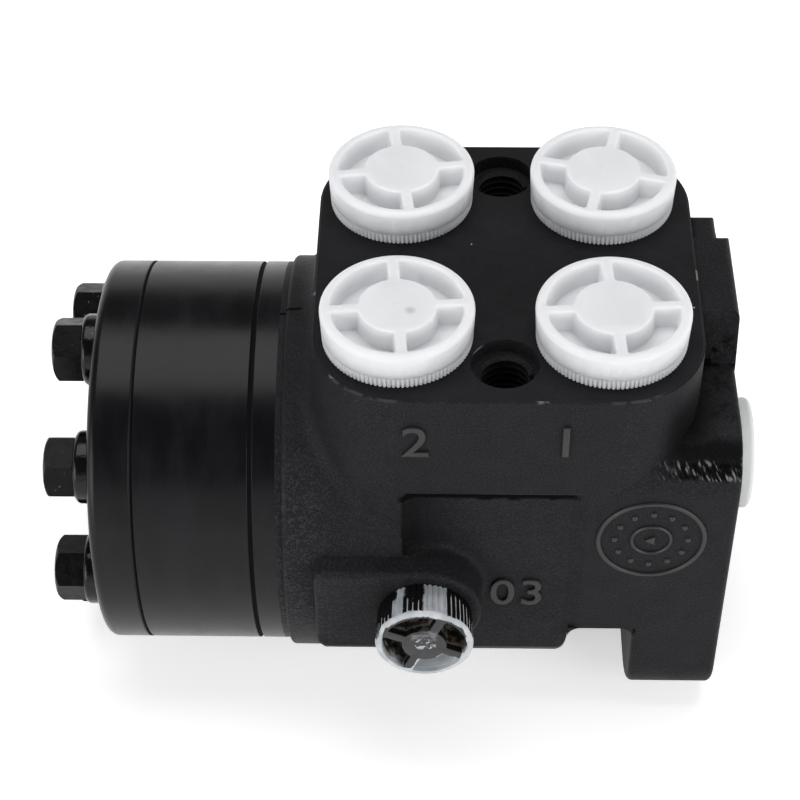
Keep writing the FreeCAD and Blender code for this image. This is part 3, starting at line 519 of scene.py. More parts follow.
def screw_paint(name, shade, rough_low, rough_high, shine):
    """Black paint over forged or turned steel."""
    made, tree, shader, coords = material(name)
    skin = place_group(tree, "Sand grain", coords, Fine=1500.0, Coarse=420.0, Pits=0.4)
    bump(tree, shader, skin.outputs["Height"], 0.00004)
    tone = ramp(tree, skin.outputs["Tone"], 0.35, 0.7)
    chips = ramp(tree, noise(tree, coords, 520.0, 4.0, 0.65), 0.67, 0.72)
    colour = blend_colour(tree, tone, (shade, shade, shade * 1.1), (shade * 1.8,) * 3)
    colour = blend_colour(tree, chips, colour, (0.09, 0.09, 0.09))
    finish(tree, shader, colour, blend_value(tree, tone, rough_low, rough_high),
           Specular_IOR_Level=shine)
    return made


def plug_plastic():
    """Milky polyethylene: soft sheen, light that sinks in, faint clouding and moulding marks."""
    made, tree, shader, coords = material("plug_plastic")
    cloud = noise(tree, coords, 55.0, 3.0)
    base = tuple(looks().plug_colour)
    cool = tuple(part * share for part, share in zip(base, (0.95, 0.955, 0.965)))
    colour = blend_colour(tree, ramp(tree, cloud, 0.35, 0.75), base, cool)
    specks = place_group(tree, "Dust specks", coords, Scale=150.0, Size=0.03, Share=0.03)
    colour = blend_colour(tree, specks.outputs["Mask"], colour, (0.25, 0.25, 0.26))
    for place in (NEAR_BRUISE, FAR_BRUISE):
        off = node(tree, "ShaderNodeVectorMath", operation="DISTANCE")
        tree.links.new(coords, off.inputs[0])
        off.inputs[1].default_value = place
        bruise = times(tree, ramp_mm(tree, off.outputs["Value"], 1.6, 0.3), 0.8)
        colour = blend_colour(tree, bruise, colour, (0.50, 0.57, 0.62))

    # The gate's mark in the middle of each plug's hub, on the plug's own map
    flat = node(tree, "ShaderNodeVectorMath", operation="SUBTRACT")
    tree.links.new(tree.nodes.new("ShaderNodeUVMap").outputs[0], flat.inputs[0])
    flat.inputs[1].default_value = (0.5, 0.5, 0.0)
    away = node(tree, "ShaderNodeVectorMath", operation="LENGTH")
    tree.links.new(flat.outputs[0], away.inputs[0])
    gate = ramp(tree, away.outputs["Value"], 0.024, 0.017)
    bump(tree, shader, plus(tree, times(tree, gate, 1.4), noise(tree, coords, 320.0, 2.0)), 0.00005)
    finish(tree, shader, colour, blend_value(tree, cloud, 0.34, 0.52),
           Specular_IOR_Level=0.45, IOR=1.5, Subsurface_Weight=0.65,
           Subsurface_Radius=(1.0, 0.95, 0.9), Subsurface_Scale=3.5 * MM)
    return made


def sector(tree, turn, middle, half):
    """1 within an angle either side of a direction, in degrees, with a narrow edge."""
    away = maths(tree, "ABSOLUTE", minus(tree, turn, math.radians(middle)))
    return ramp(tree, away, math.radians(half + 1.5), math.radians(half - 1.5))


def oversprayed_plastic():
    """The signal port's plug: natural plastic, with black overspray on its hub, webs and back."""
    made, tree, shader, coords = material("oversprayed_plastic")
    low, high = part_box("signal_port_plug")
    centre = (low + high) / 2
    shift = node(tree, "ShaderNodeMapping", vector_type="POINT")
    shift.inputs["Location"].default_value = (-centre.x, -low.y, -centre.z)
    tree.links.new(coords, shift.inputs["Vector"])
    own = shift.outputs[0]
    x, y, z = axes(tree, own)
    ragged = minus(tree, noise(tree, own, 260.0, 4.0), 0.5)

    def uneven(value, amount):
        return plus(tree, value, times(tree, ragged, amount))

    off = uneven(maths(tree, "SQRT", plus(tree, times(tree, x, x), times(tree, z, z))), 0.0022)
    upper = ramp_mm(tree, z, -3, 5)
    face_only = ramp_mm(tree, y, 2.0, 1.4)

    # One pocket stayed bare, below and to the right of the hub
    lean = math.radians(291)
    towards = plus(tree, times(tree, x, math.cos(lean)), times(tree, z, math.sin(lean)))
    aside = minus(tree, times(tree, z, math.cos(lean)), times(tree, x, math.sin(lean)))
    within = uneven(minus(tree, towards, maths(tree, "ABSOLUTE", aside)), 0.003)
    bare = times(tree, ramp_mm(tree, within, 1.1, 1.4), ramp_mm(tree, off, 4.7, 5.0))
    coated = minus(tree, 1.0, bare)

    scratch = ramp(tree, noise(tree, scaled(tree, own, (1.0, 1.0, 1.6)), 620.0, 3.0), 0.53, 0.57)
    hub_middle = times(tree, ramp_mm(tree, off, 2.8, 1.8), ramp_mm(tree, z, -1.6, -0.8))
    inner = ramp_mm(tree, minus(tree, off, times(tree, upper, 1.0 * MM)), 8.9, 8.7)
    unscratched = minus(tree, 1.0, times(tree, scratch, hub_middle))
    inner = times(tree, inner, coated, unscratched, face_only)

    # Round the skirt: paint in the valleys, over the crests towards the back, and two bare flats
    turn = maths(tree, "ARCTAN2", z, x)
    wavy = uneven(turn, 0.22)
    flats = most(tree, sector(tree, wavy, 77, 14), sector(tree, wavy, 122, 6))
    back = uneven(y, 0.004)
    front_edge = blend_value(tree, upper, 1.7 * MM, 0.75 * MM)
    outer = times(tree, ramp_mm(tree, minus(tree, back, front_edge), 0.0, 0.2),
                  ramp_mm(tree, off, 9.5, 9.7))
    wave = maths(tree, "COSINE", times(tree, turn, plugs().small_teeth))
    valley = ramp(tree, uneven(wave, 0.9), -0.92, -0.78)
    crest_from = blend_value(tree, sector(tree, wavy, 0, 24), 5.6 * MM, 3.2 * MM)
    crest_from = blend_value(tree, sector(tree, wavy, 160, 30), crest_from, 2.9 * MM)
    crest_from = blend_value(tree, sector(tree, wavy, 104, 12), crest_from, 3.8 * MM)
    covered = ramp_mm(tree, minus(tree, uneven(back, 0.006), crest_from), 0.0, 0.5)
    sides = times(tree, outer, most(tree, valley, covered), minus(tree, 1.0, flats))
    painted = most(tree, inner, sides)

    # Deeper in the pockets the plastic's colour is drawn darker and browner, mottled by noise
    depth = times(tree, ramp_mm(tree, y, 0.4, 2.4), ramp_mm(tree, off, 9.5, 9.3),
                  ramp_mm(tree, y, 8.9, 8.0))
    pocket_mottle = ramp(tree, noise(tree, coords, 620.0, 3.0), 0.40, 0.54)
    inside = blend_colour(tree, pocket_mottle, (0.17, 0.14, 0.11), (0.014, 0.012, 0.010))
    wear_and_edge_highlight = ramp(tree, noise(tree, coords, 180.0, 3.0), 0.35, 0.7)
    bluish = blend_colour(tree, wear_and_edge_highlight, (0.40, 0.43, 0.46), (0.62, 0.63, 0.65))
    natural = blend_colour(tree, times(tree, depth, coated), bluish, inside)
    rubbed = ramp(tree, noise(tree, scaled(tree, own, (1.0, 1.0, 2.2)), 300.0, 4.0), 0.46, 0.54)
    smear = times(tree, between_mm(tree, z, 1.4, 2.2, 4.6, 5.2),
                  ramp_mm(tree, maths(tree, "ABSOLUTE", x), 3.2, 2.2), face_only, rubbed)
    paint = blend_colour(tree, smear, (0.006, 0.006, 0.006), (0.12, 0.12, 0.13))
    bump(tree, shader, plus(tree, painted, noise(tree, coords, 500.0, 2.0)), 0.00006)
    finish(tree, shader, blend_colour(tree, painted, natural, paint),
           blend_value(tree, painted, 0.42, 0.22), Specular_IOR_Level=0.5)
    return made


def ground_steel():
    """Oiled ground steel of the hidden valve and gear pieces."""
    made, tree, shader, coords = material("ground_steel")
    lines = place_group(tree, "Turned lines", coords, Lines=5200.0)
    bump(tree, shader, lines.outputs["Height"], 0.00002)
    smear = lines.outputs["Smear"]
    finish(tree, shader, blend_colour(tree, smear, (0.46, 0.46, 0.47), (0.60, 0.59, 0.58)),
           blend_value(tree, smear, 0.24, 0.42), Metallic=1.0)
    return made


def seal_rubber():
    """Dark nitrile rubber."""
    made, tree, shader, coords = material("seal_rubber")
    cloud = noise(tree, coords, 240.0, 3.0)
    bump(tree, shader, cloud, 0.00003)
    finish(tree, shader, blend_colour(tree, cloud, (0.012, 0.012, 0.012), (0.03, 0.03, 0.03)),
           blend_value(tree, cloud, 0.5, 0.7))
    return made


def dress(thing, made):
    """Gives a thing one material in every slot."""
    if not thing.data.materials:
        thing.data.materials.append(made)
    for index in range(len(thing.data.materials)):
        thing.data.materials[index] = made


def object_from(bm, name, made, sharp=35.0):
    """A finished object from a bmesh: smooth, with its hard edges marked."""
    mesh = bpy.data.meshes.new(name)
    bm.to_mesh(mesh)
    bm.free()
    mesh.shade_smooth()
    mesh.set_sharp_from_angle(angle=math.radians(sharp))
    thing = bpy.data.objects.new(name, mesh)
    bpy.context.scene.collection.objects.link(thing)
    dress(thing, made)
    return thing


def loop(bm, count, radius, height, tooth_depth=0.0):
    """One closed loop of points round Z; its first point in each tooth's span may lie deeper."""
    made = bmesh.ops.create_circle(bm, cap_ends=False, cap_tris=False, radius=radius,
                                   segments=count)
    for index, vert in enumerate(made["verts"]):
        turn = FULL_TURN * index / count
        reach = radius if index % POINTS_PER_TOOTH else radius - tooth_depth
        vert.co = (reach * math.cos(turn), reach * math.sin(turn), height)
    return made["verts"]


def loop_edges(ring):
    """The edges that join a loop's points to each other."""
    members = set(ring)
    return list({edge for vert in ring for edge in vert.link_edges
                 if edge.other_vert(vert) in members})


def join_rings(bm, rings):
    """Bridges each ring to the next, and the last one to the first."""
    for first, second in zip(rings, rings[1:] + rings[:1]):
        bmesh.ops.bridge_loops(bm, edges=loop_edges(first) + loop_edges(second))


def ring_solid(bm, places, count=96):
    """A turned ring about Z from a closed run of (r, z) places."""
    join_rings(bm, [loop(bm, count, r, z) for r, z in places])


def reach_of(vert):
    """How far a point stands from the Z axis."""
    return math.hypot(vert.co.x, vert.co.y)


def fold_of(edge):
    """How far the surface turns at an edge."""
    return edge.calc_face_angle() if edge.is_manifold else 0.0


def merged_copy(cad_node, place):
    """A CAD piece's mesh in the frame of a place, with its seams merged and its flats whole."""
    bm = bmesh.new()
    bm.from_mesh(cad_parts[cad_node].data)
    bmesh.ops.transform(bm, matrix=place.inverted(), verts=bm.verts[:])
    bmesh.ops.remove_doubles(bm, verts=bm.verts[:], dist=MERGE_STEP)
    bmesh.ops.dissolve_limit(bm, angle_limit=math.radians(1.0), verts=bm.verts[:],
                             edges=bm.edges[:])
    return bm


def soften(bm, wanted, width, segments):
    """Rounds the edges that pass a test."""
    edges = [edge for edge in bm.edges if wanted(edge)]
    bmesh.ops.bevel(bm, geom=edges, offset=width, offset_type="OFFSET", segments=segments,
                    profile=0.5, affect="EDGES", material=-1, clamp_overlap=True)
    bm.normal_update()


def draft_pockets(bm, top, corners, draft):
    """Widens the pockets at the top face, so that their walls lean as a mould's taper does.

    It returns the width of the land round the pockets and the direction of each spoke.
    """
    def near_top(vert):
        return abs(vert.co.z - top) < NEAR_STEP

    def on_wall(vert):
        ways = ((vert.co - edge.other_vert(vert).co).normalized() for edge in vert.link_edges)
        return any(abs(way.z) > 0.9 for way in ways)

    reaches = {vert: reach_of(vert) for vert in bm.verts if near_top(vert) and on_wall(vert)}
    rim_r, hub_r = max(reaches.values()), min(reaches.values())
    turns = sorted(math.atan2(vert.co.y, vert.co.x) for edge in corners for vert in edge.verts
                   if near_top(vert) and reach_of(vert) > (rim_r + hub_r) / 2)
    pairs = [(a, b) for a, b in zip(turns, turns[1:] + [turns[0] + FULL_TURN])
             if b - a < math.radians(40)]
    spokes = [(a + b) / 2 for a, b in pairs]
    half = rim_r * math.sin((pairs[0][1] - pairs[0][0]) / 2)
    for vert, reach in reaches.items():
        turn = math.atan2(vert.co.y, vert.co.x)
        lean = min(((turn - spoke + math.pi) % FULL_TURN - math.pi for spoke in spokes), key=abs)
        spoke = turn - lean
        new_reach = reach
        if reach > rim_r - 0.2 * MM:
            new_reach = reach + draft
        elif reach < hub_r + 0.2 * MM:
            new_reach = reach - 0.35 * draft
        aside = reach * math.sin(lean)
        if abs(aside) < half + NEAR_STEP:
            lean = math.asin(aside * (1 - 0.35 * draft / half) / new_reach)
        vert.co.xy = (new_reach * math.cos(spoke + lean), new_reach * math.sin(spoke + lean))
    flat_r = max(reach_of(vert) for vert in bm.verts if abs(vert.co.z - top) < LEVEL_STEP)
    return flat_r - rim_r - draft, spokes


def quarter_top(bm, top, spokes):
    """Cuts the flat top midway between its spokes, into one plain face for each spoke."""
    def flat():
        return [face for face in bm.faces if face.normal.z > 0.99
                and all(abs(vert.co.z - top) < LEVEL_STEP for vert in face.verts)]

    for spoke in spokes[:2]:
        way = spoke + QUARTER_TURN / 2
        faces = flat()
        edges = {edge for face in faces for edge in face.edges}
        verts = {vert for face in faces for vert in face.verts}
        bmesh.ops.bisect_plane(bm, geom=faces + list(edges) + list(verts), dist=CUT_STEP,
                               plane_co=(0, 0, 0), plane_no=(-math.sin(way), math.cos(way), 0))
    for spoke in spokes:
        heading = Vector((math.cos(spoke), math.sin(spoke)))
        own = [face for face in flat()
               if face.calc_center_median().xy.normalized().dot(heading) > math.sqrt(0.5)]
        bmesh.ops.dissolve_faces(bm, faces=own, use_verts=False)


def soft_plug(cad_node, place, teeth, tooth_depth, tooth_top, pocket_draft, made):
    """A plug in its own frame, on z = 0 with its head above: soft edges and a toothed skirt."""
    bm = merged_copy(cad_node, place)
    top = max(vert.co.z for vert in bm.verts)
    radii = [(reach_of(vert), vert.co.z) for vert in bm.verts]
    wide_r, wide_z = max(radii)
    foot_r, foot_z = max(pair for pair in radii if pair[1] < 0.7 * MM)
    edge_round = plugs().edge_round

    def skirt_r(height):
        return foot_r + (wide_r - foot_r) * (height - foot_z) / (wide_z - foot_z)

    def is_hard(edge):
        return fold_of(edge) > PLUG_CORNER

    def is_corner(edge):
        """An upright edge of a pocket that reaches the top."""
        first, second = (vert.co for vert in edge.verts)
        upright = abs(first.z - second.z) > 0.9 * (first - second).length
        return upright and max(first.z, second.z) > top - NEAR_STEP and is_hard(edge)

    def is_lip(edge):
        """An edge of the top face."""
        level = all(abs(vert.co.z - top) < LEVEL_STEP for vert in edge.verts)
        return level and fold_of(edge) > math.radians(40)

    corners = [edge for edge in bm.edges if is_corner(edge)]
    land, spokes = draft_pockets(bm, top, corners, pocket_draft)
    quarter_top(bm, top, spokes)
    soften(bm, is_corner, 1.2 * edge_round, 4)
    soften(bm, is_lip, min(edge_round, 0.7 * land), 5)
    soften(bm, is_hard, 0.35 * edge_round, 2)

    # The plain skirt is cut below its head and drawn in, and a toothed band takes its place
    for level in (tooth_top - 0.3 * MM, tooth_top):
        bmesh.ops.bisect_plane(bm, geom=bm.verts[:] + bm.edges[:] + bm.faces[:], dist=CUT_STEP,
                               plane_co=(0, 0, level), plane_no=(0, 0, 1))
    for vert in bm.verts:
        reach = reach_of(vert)
        if vert.co.z < tooth_top - 0.1 * MM and reach > foot_r - 0.8 * MM:
            vert.co.xy = vert.co.xy * (1 - (tooth_depth + 0.05 * MM) / reach)
    count = teeth * POINTS_PER_TOOTH
    run_out = tooth_top - 3.0 * tooth_depth
    join_rings(bm, [loop(bm, count, foot_r - 1.3 * MM, 0.2 * MM),
                    loop(bm, count, foot_r - 0.3 * MM, 0.12 * MM, tooth_depth),
                    loop(bm, count, skirt_r(0.4 * MM), 0.4 * MM, tooth_depth),
                    loop(bm, count, skirt_r(run_out) + 0.01 * MM, run_out, tooth_depth),
                    loop(bm, count, skirt_r(tooth_top) - 0.06 * MM, tooth_top),
                    loop(bm, count, foot_r - 1.3 * MM, tooth_top - 0.1 * MM)])
    bmesh.ops.recalc_face_normals(bm, faces=bm.faces[:])

    flat = bm.loops.layers.uv.new("Plug face")
    for face in bm.faces:
        for corner in face.loops:
            corner[flat].uv = corner.vert.co.xy / PLUG_FACE_SPAN + Vector((0.5, 0.5))
    bm.transform(place)
    thing = object_from(bm, cad_node + "_moulded", made, 50.0)
    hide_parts(cad_node)
    return thing


def softened_copy(name, cad_node, width, made):
    """A copy of a machined piece with its hard edges slightly rounded."""
    bm = merged_copy(cad_node, Matrix())
    soften(bm, lambda edge: fold_of(edge) > math.radians(28), width, 2)
    thing = object_from(bm, name, made, 32.0)
    weighted = thing.modifiers.new("Even faces", "WEIGHTED_NORMAL")
    weighted.keep_sharp = True
    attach(thing, "casing")
    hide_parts(cad_node)


def thread_lining(name, radius, pitch, body, matrix, made):
    """A screw thread that lines a plain hole: its crests stand inwards from the wall."""
    bm = bmesh.new()
    crest_r, root_r = radius - 0.58 * pitch, radius + 0.02 * MM
    start = [(root_r, -0.46 * pitch), (crest_r, -0.08 * pitch),
             (crest_r, 0.08 * pitch), (root_r, 0.46 * pitch)]
    verts = [bm.verts.new((r, 0, z)) for r, z in start]
    edges = [bm.edges.new(pair) for pair in zip(verts, verts[1:])]
    edges.append(bm.edges.new((verts[-1], verts[0])))
    bmesh.ops.spin(bm, geom=verts + edges, cent=(0, 0, 0), axis=(0, 0, 1),
                   dvec=(0, 0, -pitch / STEPS_PER_TURN), angle=FULL_TURN * THREAD_TURNS,
                   steps=int(STEPS_PER_TURN * THREAD_TURNS), use_merge=False)
    ends = [edge for edge in bm.edges if edge.is_boundary]
    bmesh.ops.holes_fill(bm, edges=ends, sides=8)
    bmesh.ops.recalc_face_normals(bm, faces=bm.faces[:])
    bm.transform(matrix)
    thing = object_from(bm, name, made, 25.0)
    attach(thing, body)


def raised_text(words, name, height, depth, matrix, made):
    """Cast figures that stand up from a face."""
    curve = bpy.data.curves.new(name, "FONT")
    curve.body = words
    curve.align_x = "CENTER"
    curve.align_y = "CENTER"
    curve.size = height
    curve.extrude = depth / 2
    curve.bevel_depth = 0.28 * MM
    curve.bevel_resolution = 3
    curve.offset = -0.13 * MM
    curve.space_character = 1.12
    holder = bpy.data.objects.new(name + "_outline", curve)
    bpy.context.scene.collection.objects.link(holder)
    bpy.context.view_layer.update()
    mesh = bpy.data.meshes.new_from_object(holder)
    bpy.data.objects.remove(holder)
    bm = bmesh.new()
    bm.from_mesh(mesh)
    bmesh.ops.remove_doubles(bm, verts=bm.verts[:], dist=2 * MERGE_STEP)
    bm.transform(matrix)
    thing = object_from(bm, name, made, 15.0)
    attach(thing, "casing")


def front_place(x, z, y=FRONT_PLANE_Y):
    """Turns a drawing in its own XY plane to face the front, at one place on it."""
    return Matrix.Translation((x, y, z)) @ Matrix.Rotation(QUARTER_TURN, 4, "X")


class PUMP_OT_groups(bpy.types.Operator):
    """Makes the shader node groups that the finishes share"""

    bl_idname = "pump.finish_groups"
    bl_label = "Finish groups"

    def execute(self, context):
        sand_grain_group()
        dust_specks_group()
        turned_lines_group()
        return {"FINISHED"}


class PUMP_OT_casting(bpy.types.Operator):
    """Paints the casting and lines its open holes with threads"""

    bl_idname = "pump.casting"
    bl_label = "Casting"

    def execute(self, context):
        paint = casting_paint()
        dress(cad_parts["housing"], paint)
        low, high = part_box("port_plug_near_left")
        right_low, right_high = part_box("port_plug_near_right")
        centre_x = (low.x + high.x + right_low.x + right_high.x) / 4
        for side, label in ((-1, "near"), (1, "far")):
            place = Matrix.Translation((centre_x, side * PORT_THREAD_Y, PORT_FACE_Z - 3.6 * MM))
            thread_lining("port_face_thread_" + label, *M12_THREAD, "casing", place, paint)
        reach = FIXING_CIRCLE / 2 * math.sin(QUARTER_TURN / 2)
        into_flange = Matrix.Rotation(QUARTER_TURN, 4, "Y")
        corners = ((-1, -1), (-1, 1), (1, -1), (1, 1))
        for number, (y, z) in enumerate(corners, start=1):
            place = Matrix.Translation((-0.8 * MM, y * reach, z * reach)) @ into_flange
            thread_lining("flange_thread_" + str(number), *M10_THREAD, "casing", place, paint)
        return {"FINISHED"}


class PUMP_OT_marks(bpy.types.Operator):
    """Casts plain port numbers and a foundry date dial on the front"""

    bl_idname = "pump.marks"
    bl_label = "Cast marks"

    def execute(self, context):
        paint = bpy.data.materials["casting_paint"]
        depth = 0.9 * MM
        left = front_place(-69.2 * MM, 46.3 * MM)
        right = front_place(-38.0 * MM, 46.7 * MM)
        below = front_place(-46.6 * MM, -3.5 * MM, SIGNAL_BOSS_Y)
        raised_text("2", "mark_left_port", 12.2 * MM, depth, left, paint)
        raised_text("1", "mark_right_port", 12.2 * MM, depth, right, paint)
        raised_text("03", "mark_signal_port", 11.8 * MM, depth, below, paint)
        self.date_dial(paint)
        return {"FINISHED"}

    def date_dial(self, paint):
        """A ring with twelve pips and a short pointer, as foundries cast to show a month."""
        bm = bmesh.new()
        height, sunk, edge, pip_r = 0.55 * MM, -0.3 * MM, 0.25 * MM, 8.0 * MM
        for outer, inner in ((12.0 * MM, 11.0 * MM), (4.6 * MM, 3.9 * MM)):
            ring_solid(bm, [(inner, sunk), (outer, sunk), (outer, height - edge),
                            (outer - edge, height), (inner + edge, height),
                            (inner, height - edge)])
        for month in range(12):
            turn = math.radians(30 * month)
            place = Matrix.Translation((pip_r * math.cos(turn), pip_r * math.sin(turn), 0.0))
            bmesh.ops.create_uvsphere(bm, u_segments=16, v_segments=8, radius=0.75 * MM,
                                      matrix=place @ Matrix.Diagonal((1, 1, 0.7, 1)))
        pointer = bmesh.ops.create_cone(bm, cap_ends=True, segments=3, radius1=1.9 * MM,
                                        radius2=1.4 * MM, depth=1.0 * MM)
        bmesh.ops.rotate(bm, verts=pointer["verts"], cent=(0, 0, 0),
                         matrix=Matrix.Rotation(QUARTER_TURN, 3, "Z"))
        bmesh.ops.recalc_face_normals(bm, faces=bm.faces[:])
        bm.transform(front_place(-18.1 * MM, 16.5 * MM))
        thing = object_from(bm, "mark_date_dial", paint)
        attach(thing, "casing")


class PUMP_OT_gear_set(bpy.types.Operator):
    """Paints the gear ring, the distributor plate and the end cover"""

    bl_idname = "pump.gear_set"
    bl_label = "Gear set"

    def execute(self, context):
        paint = gear_set_paint()
        for name in GEAR_SET_NODES:
            dress(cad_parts[name], paint)
        return {"FINISHED"}


class PUMP_OT_screws(bpy.types.Operator):
    """Softens and paints the cover's screws and washers"""

    bl_idname = "pump.screws"
    bl_label = "Screws and washers"

    def execute(self, context):
        heads = screw_paint("screw_paint", 0.0024, 0.28, 0.40, 0.12)
        rings = screw_paint("washer_paint", 0.0030, 0.10, 0.22, 0.28)
        for name in SCREW_NODES:
            softened_copy(name + "_finished", name, 0.22 * MM, heads)
        softened_copy("cover_washers_finished", "cover_washers", 0.35 * MM, rings)
        return {"FINISHED"}


class PUMP_OT_port_plugs(bpy.types.Operator):
    """Moulds the four plugs of the port face"""

    bl_idname = "pump.port_plugs"
    bl_label = "Port plugs"

    def execute(self, context):
        plastic = plug_plastic()
        for label in ("near_left", "near_right", "far_left", "far_right"):
            name = "port_plug_" + label
            low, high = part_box(name)
            place = Matrix.Translation(((low.x + high.x) / 2, (low.y + high.y) / 2, PORT_FACE_Z))
            thing = soft_plug(name, place, plugs().knurl_teeth, plugs().knurl_depth,
                              tooth_top=2.9 * MM, pocket_draft=1.0 * MM, made=plastic)
            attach(thing, "plug_" + label)
        return {"FINISHED"}


class PUMP_OT_signal_plug(bpy.types.Operator):
    """Moulds the small plug of the signal port, with its overspray"""

    bl_idname = "pump.signal_plug"
    bl_label = "Signal port plug"

    def execute(self, context):
        low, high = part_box("signal_port_plug")
        seat_y = low.y + SIGNAL_PLUG_HEAD
        place = Matrix.Translation(((low.x + high.x) / 2, seat_y, (low.z + high.z) / 2))
        facing = place @ Matrix.Rotation(QUARTER_TURN, 4, "X")
        thing = soft_plug("signal_port_plug", facing, plugs().small_teeth, 0.45 * MM,
                          tooth_top=7.9 * MM, pocket_draft=0.1 * MM, made=oversprayed_plastic())
        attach(thing, "signal_plug")
        return {"FINISHED"}


class PUMP_OT_shaft_plug(bpy.types.Operator):
    """Moulds the plug of the column flange"""

    bl_idname = "pump.shaft_plug"
    bl_label = "Shaft plug"

    def execute(self, context):
        facing = Matrix.Rotation(QUARTER_TURN, 4, "Y")
        thing = soft_plug("shaft_plug", facing, 84, 0.25 * MM, tooth_top=2.6 * MM,
                          pocket_draft=0.25 * MM, made=bpy.data.materials["plug_plastic"])
        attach(thing, "column_plug")
        return {"FINISHED"}


class PUMP_OT_inner_parts(bpy.types.Operator):
    """Gives the hidden steel and rubber pieces their finish"""

    bl_idname = "pump.inner_parts"
    bl_label = "Inner pieces"

    def execute(self, context):
        steel = ground_steel()
        for name in STEEL_NODES:
            dress(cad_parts[name], steel)
        rubber = seal_rubber()
        for name in RUBBER_NODES:
            dress(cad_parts[name], rubber)
        return {"FINISHED"}


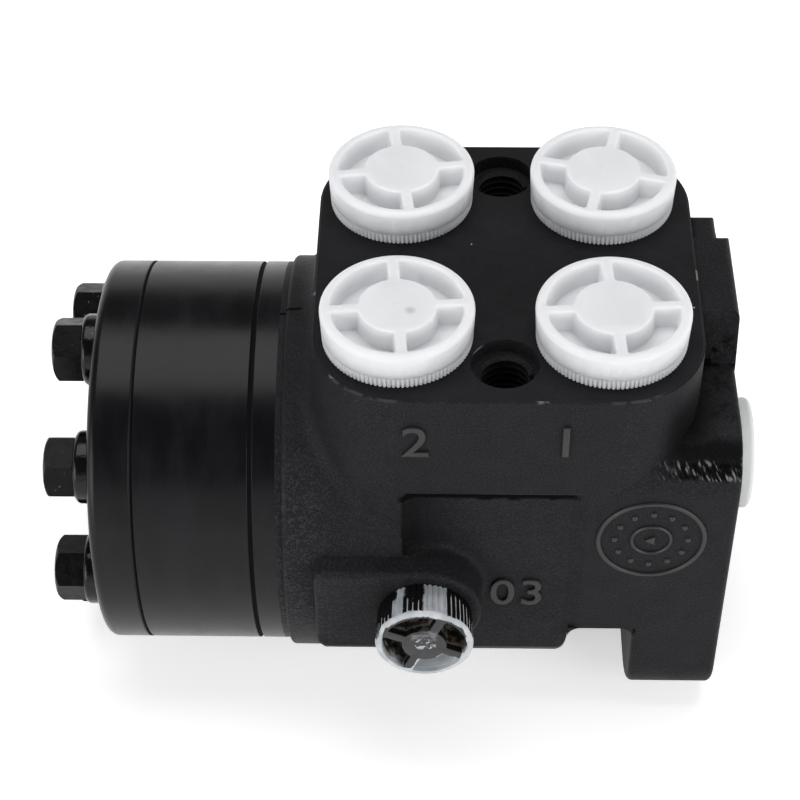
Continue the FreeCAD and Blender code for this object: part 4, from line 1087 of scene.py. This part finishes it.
class PUMP_OT_stage(bpy.types.Operator):
    """Sets the floor, the backdrop light, the soft lamps and the camera"""

    bl_idname = "pump.stage"
    bl_label = "Stage"

    def execute(self, context):
        self.floor(cad_box[0].z)
        self.backdrop(context)
        self.lamp("top_lamp", (-0.06, 0.12, 0.75), 0.75, 0.55, stage().top_power)
        for name, x in (("left_lamp", -0.75), ("right_lamp", 0.65)):
            self.lamp(name, (x, -0.60, 0.32), 0.6, 0.6, stage().side_power)
        self.camera(context)
        return {"FINISHED"}

    def floor(self, height):
        bm = bmesh.new()
        bmesh.ops.create_grid(bm, x_segments=1, y_segments=1, size=6.0)
        bmesh.ops.translate(bm, verts=bm.verts[:], vec=(0, 0, height - 0.02 * MM))
        made, tree, shader, coords = material("floor_card")
        shader.inputs["Roughness"].default_value = 0.9
        shader.inputs["Specular IOR Level"].default_value = 0.1
        shader.inputs["Base Color"].default_value = (0.93, 0.93, 0.93, 1.0)
        shader.inputs["Emission Color"].default_value = (1.0, 1.0, 1.0, 1.0)
        rays = tree.nodes.new("ShaderNodeLightPath").outputs
        reach = node(tree, "ShaderNodeVectorMath", operation="LENGTH")
        tree.links.new(coords, reach.inputs[0])
        glow = blend_value(tree, ramp(tree, reach.outputs["Value"], 0.35, 1.0), 0.5, 1.0)
        seen = most(tree, rays["Is Camera Ray"], rays["Is Glossy Ray"],
                    rays["Is Transmission Ray"])
        tree.links.new(times(tree, seen, glow), shader.inputs["Emission Strength"])
        thing = object_from(bm, "floor", made)

    def backdrop(self, context):
        """Pale round the horizon, as a light tent is, and dim overhead."""
        world = bpy.data.worlds.new("studio")
        context.scene.world = world
        world.use_nodes = True
        tree = world.node_tree
        direction = tree.nodes.new("ShaderNodeTexCoord").outputs["Generated"]
        strength = blend_value(tree, ramp(tree, axes(tree, direction)[2], 0.26, 0.5), 1.0, 0.10)
        shader = tree.nodes["Background"]
        shader.inputs["Color"].default_value = (1.0, 1.0, 1.0, 1.0)
        tree.links.new(strength, shader.inputs["Strength"])

    def lamp(self, name, place, width, depth, power):
        light = bpy.data.lights.new(name, "AREA")
        light.shape = "RECTANGLE"
        light.size = width
        light.size_y = depth
        light.energy = power
        thing = bpy.data.objects.new(name, light)
        thing.location = place
        towards = Vector(LAMP_TARGET) - Vector(place)
        thing.rotation_euler = towards.to_track_quat("-Z", "Y").to_euler()
        thing.visible_camera = False
        bpy.context.scene.collection.objects.link(thing)

    def camera(self, context):
        yaw, pitch, roll = stage().camera_yaw, stage().camera_pitch, stage().camera_roll
        ahead = Vector((-math.sin(yaw) * math.cos(pitch), math.cos(yaw) * math.cos(pitch),
                        -math.sin(pitch)))
        right = Vector((math.cos(yaw), math.sin(yaw), 0.0))
        up = right.cross(ahead)
        turned_right = math.cos(roll) * right + math.sin(roll) * up
        turned_up = -math.sin(roll) * right + math.cos(roll) * up
        data = bpy.data.cameras.new("photo_camera")
        data.sensor_width = 36.0
        data.lens = stage().camera_lens
        data.clip_start = 0.01
        data.clip_end = 20.0
        camera = bpy.data.objects.new("photo_camera", data)
        turn = Matrix((turned_right, turned_up, -ahead)).transposed().to_4x4()
        camera.matrix_world = Matrix.Translation(stage().camera_place) @ turn
        context.scene.collection.objects.link(camera)
        context.scene.camera = camera
        context.scene.view_settings.view_transform = "Standard"


OPERATORS = (PUMP_OT_groups, PUMP_OT_casting, PUMP_OT_marks, PUMP_OT_gear_set, PUMP_OT_screws,
             PUMP_OT_port_plugs, PUMP_OT_signal_plug, PUMP_OT_shaft_plug, PUMP_OT_inner_parts,
             PUMP_OT_stage)


class PUMP_PT_panel(bpy.types.Panel):
    """Lists the pump's pieces and their settings"""

    bl_idname = "PUMP_PT_panel"
    bl_label = "Metering pump"
    bl_space_type = "VIEW_3D"
    bl_region_type = "UI"
    bl_category = "Metering pump"

    def draw(self, context):
        layout = self.layout
        for operator in OPERATORS:
            layout.operator(operator.bl_idname)
        for group in (context.scene.pump_looks, context.scene.pump_plugs, context.scene.pump_stage):
            for name in group.bl_rna.properties.keys():
                if name not in ("rna_type", "name"):
                    layout.prop(group, name)


CLASSES = (PumpLooks, PumpPlugs, PumpStage) + OPERATORS + (PUMP_PT_panel,)


def register():
    for one in CLASSES:
        bpy.utils.register_class(one)
    bpy.types.Scene.pump_looks = PointerProperty(type=PumpLooks)
    bpy.types.Scene.pump_plugs = PointerProperty(type=PumpPlugs)
    bpy.types.Scene.pump_stage = PointerProperty(type=PumpStage)


def unregister():
    del bpy.types.Scene.pump_stage
    del bpy.types.Scene.pump_plugs
    del bpy.types.Scene.pump_looks
    for one in reversed(CLASSES):
        bpy.utils.unregister_class(one)


def main():
    register()
    bpy.ops.pump.finish_groups()
    bpy.ops.pump.casting()
    bpy.ops.pump.marks()
    bpy.ops.pump.gear_set()
    bpy.ops.pump.screws()
    bpy.ops.pump.port_plugs()
    bpy.ops.pump.signal_plug()
    bpy.ops.pump.shaft_plug()
    bpy.ops.pump.inner_parts()
    bpy.ops.pump.stage()


if __name__ == "__main__":
    main()
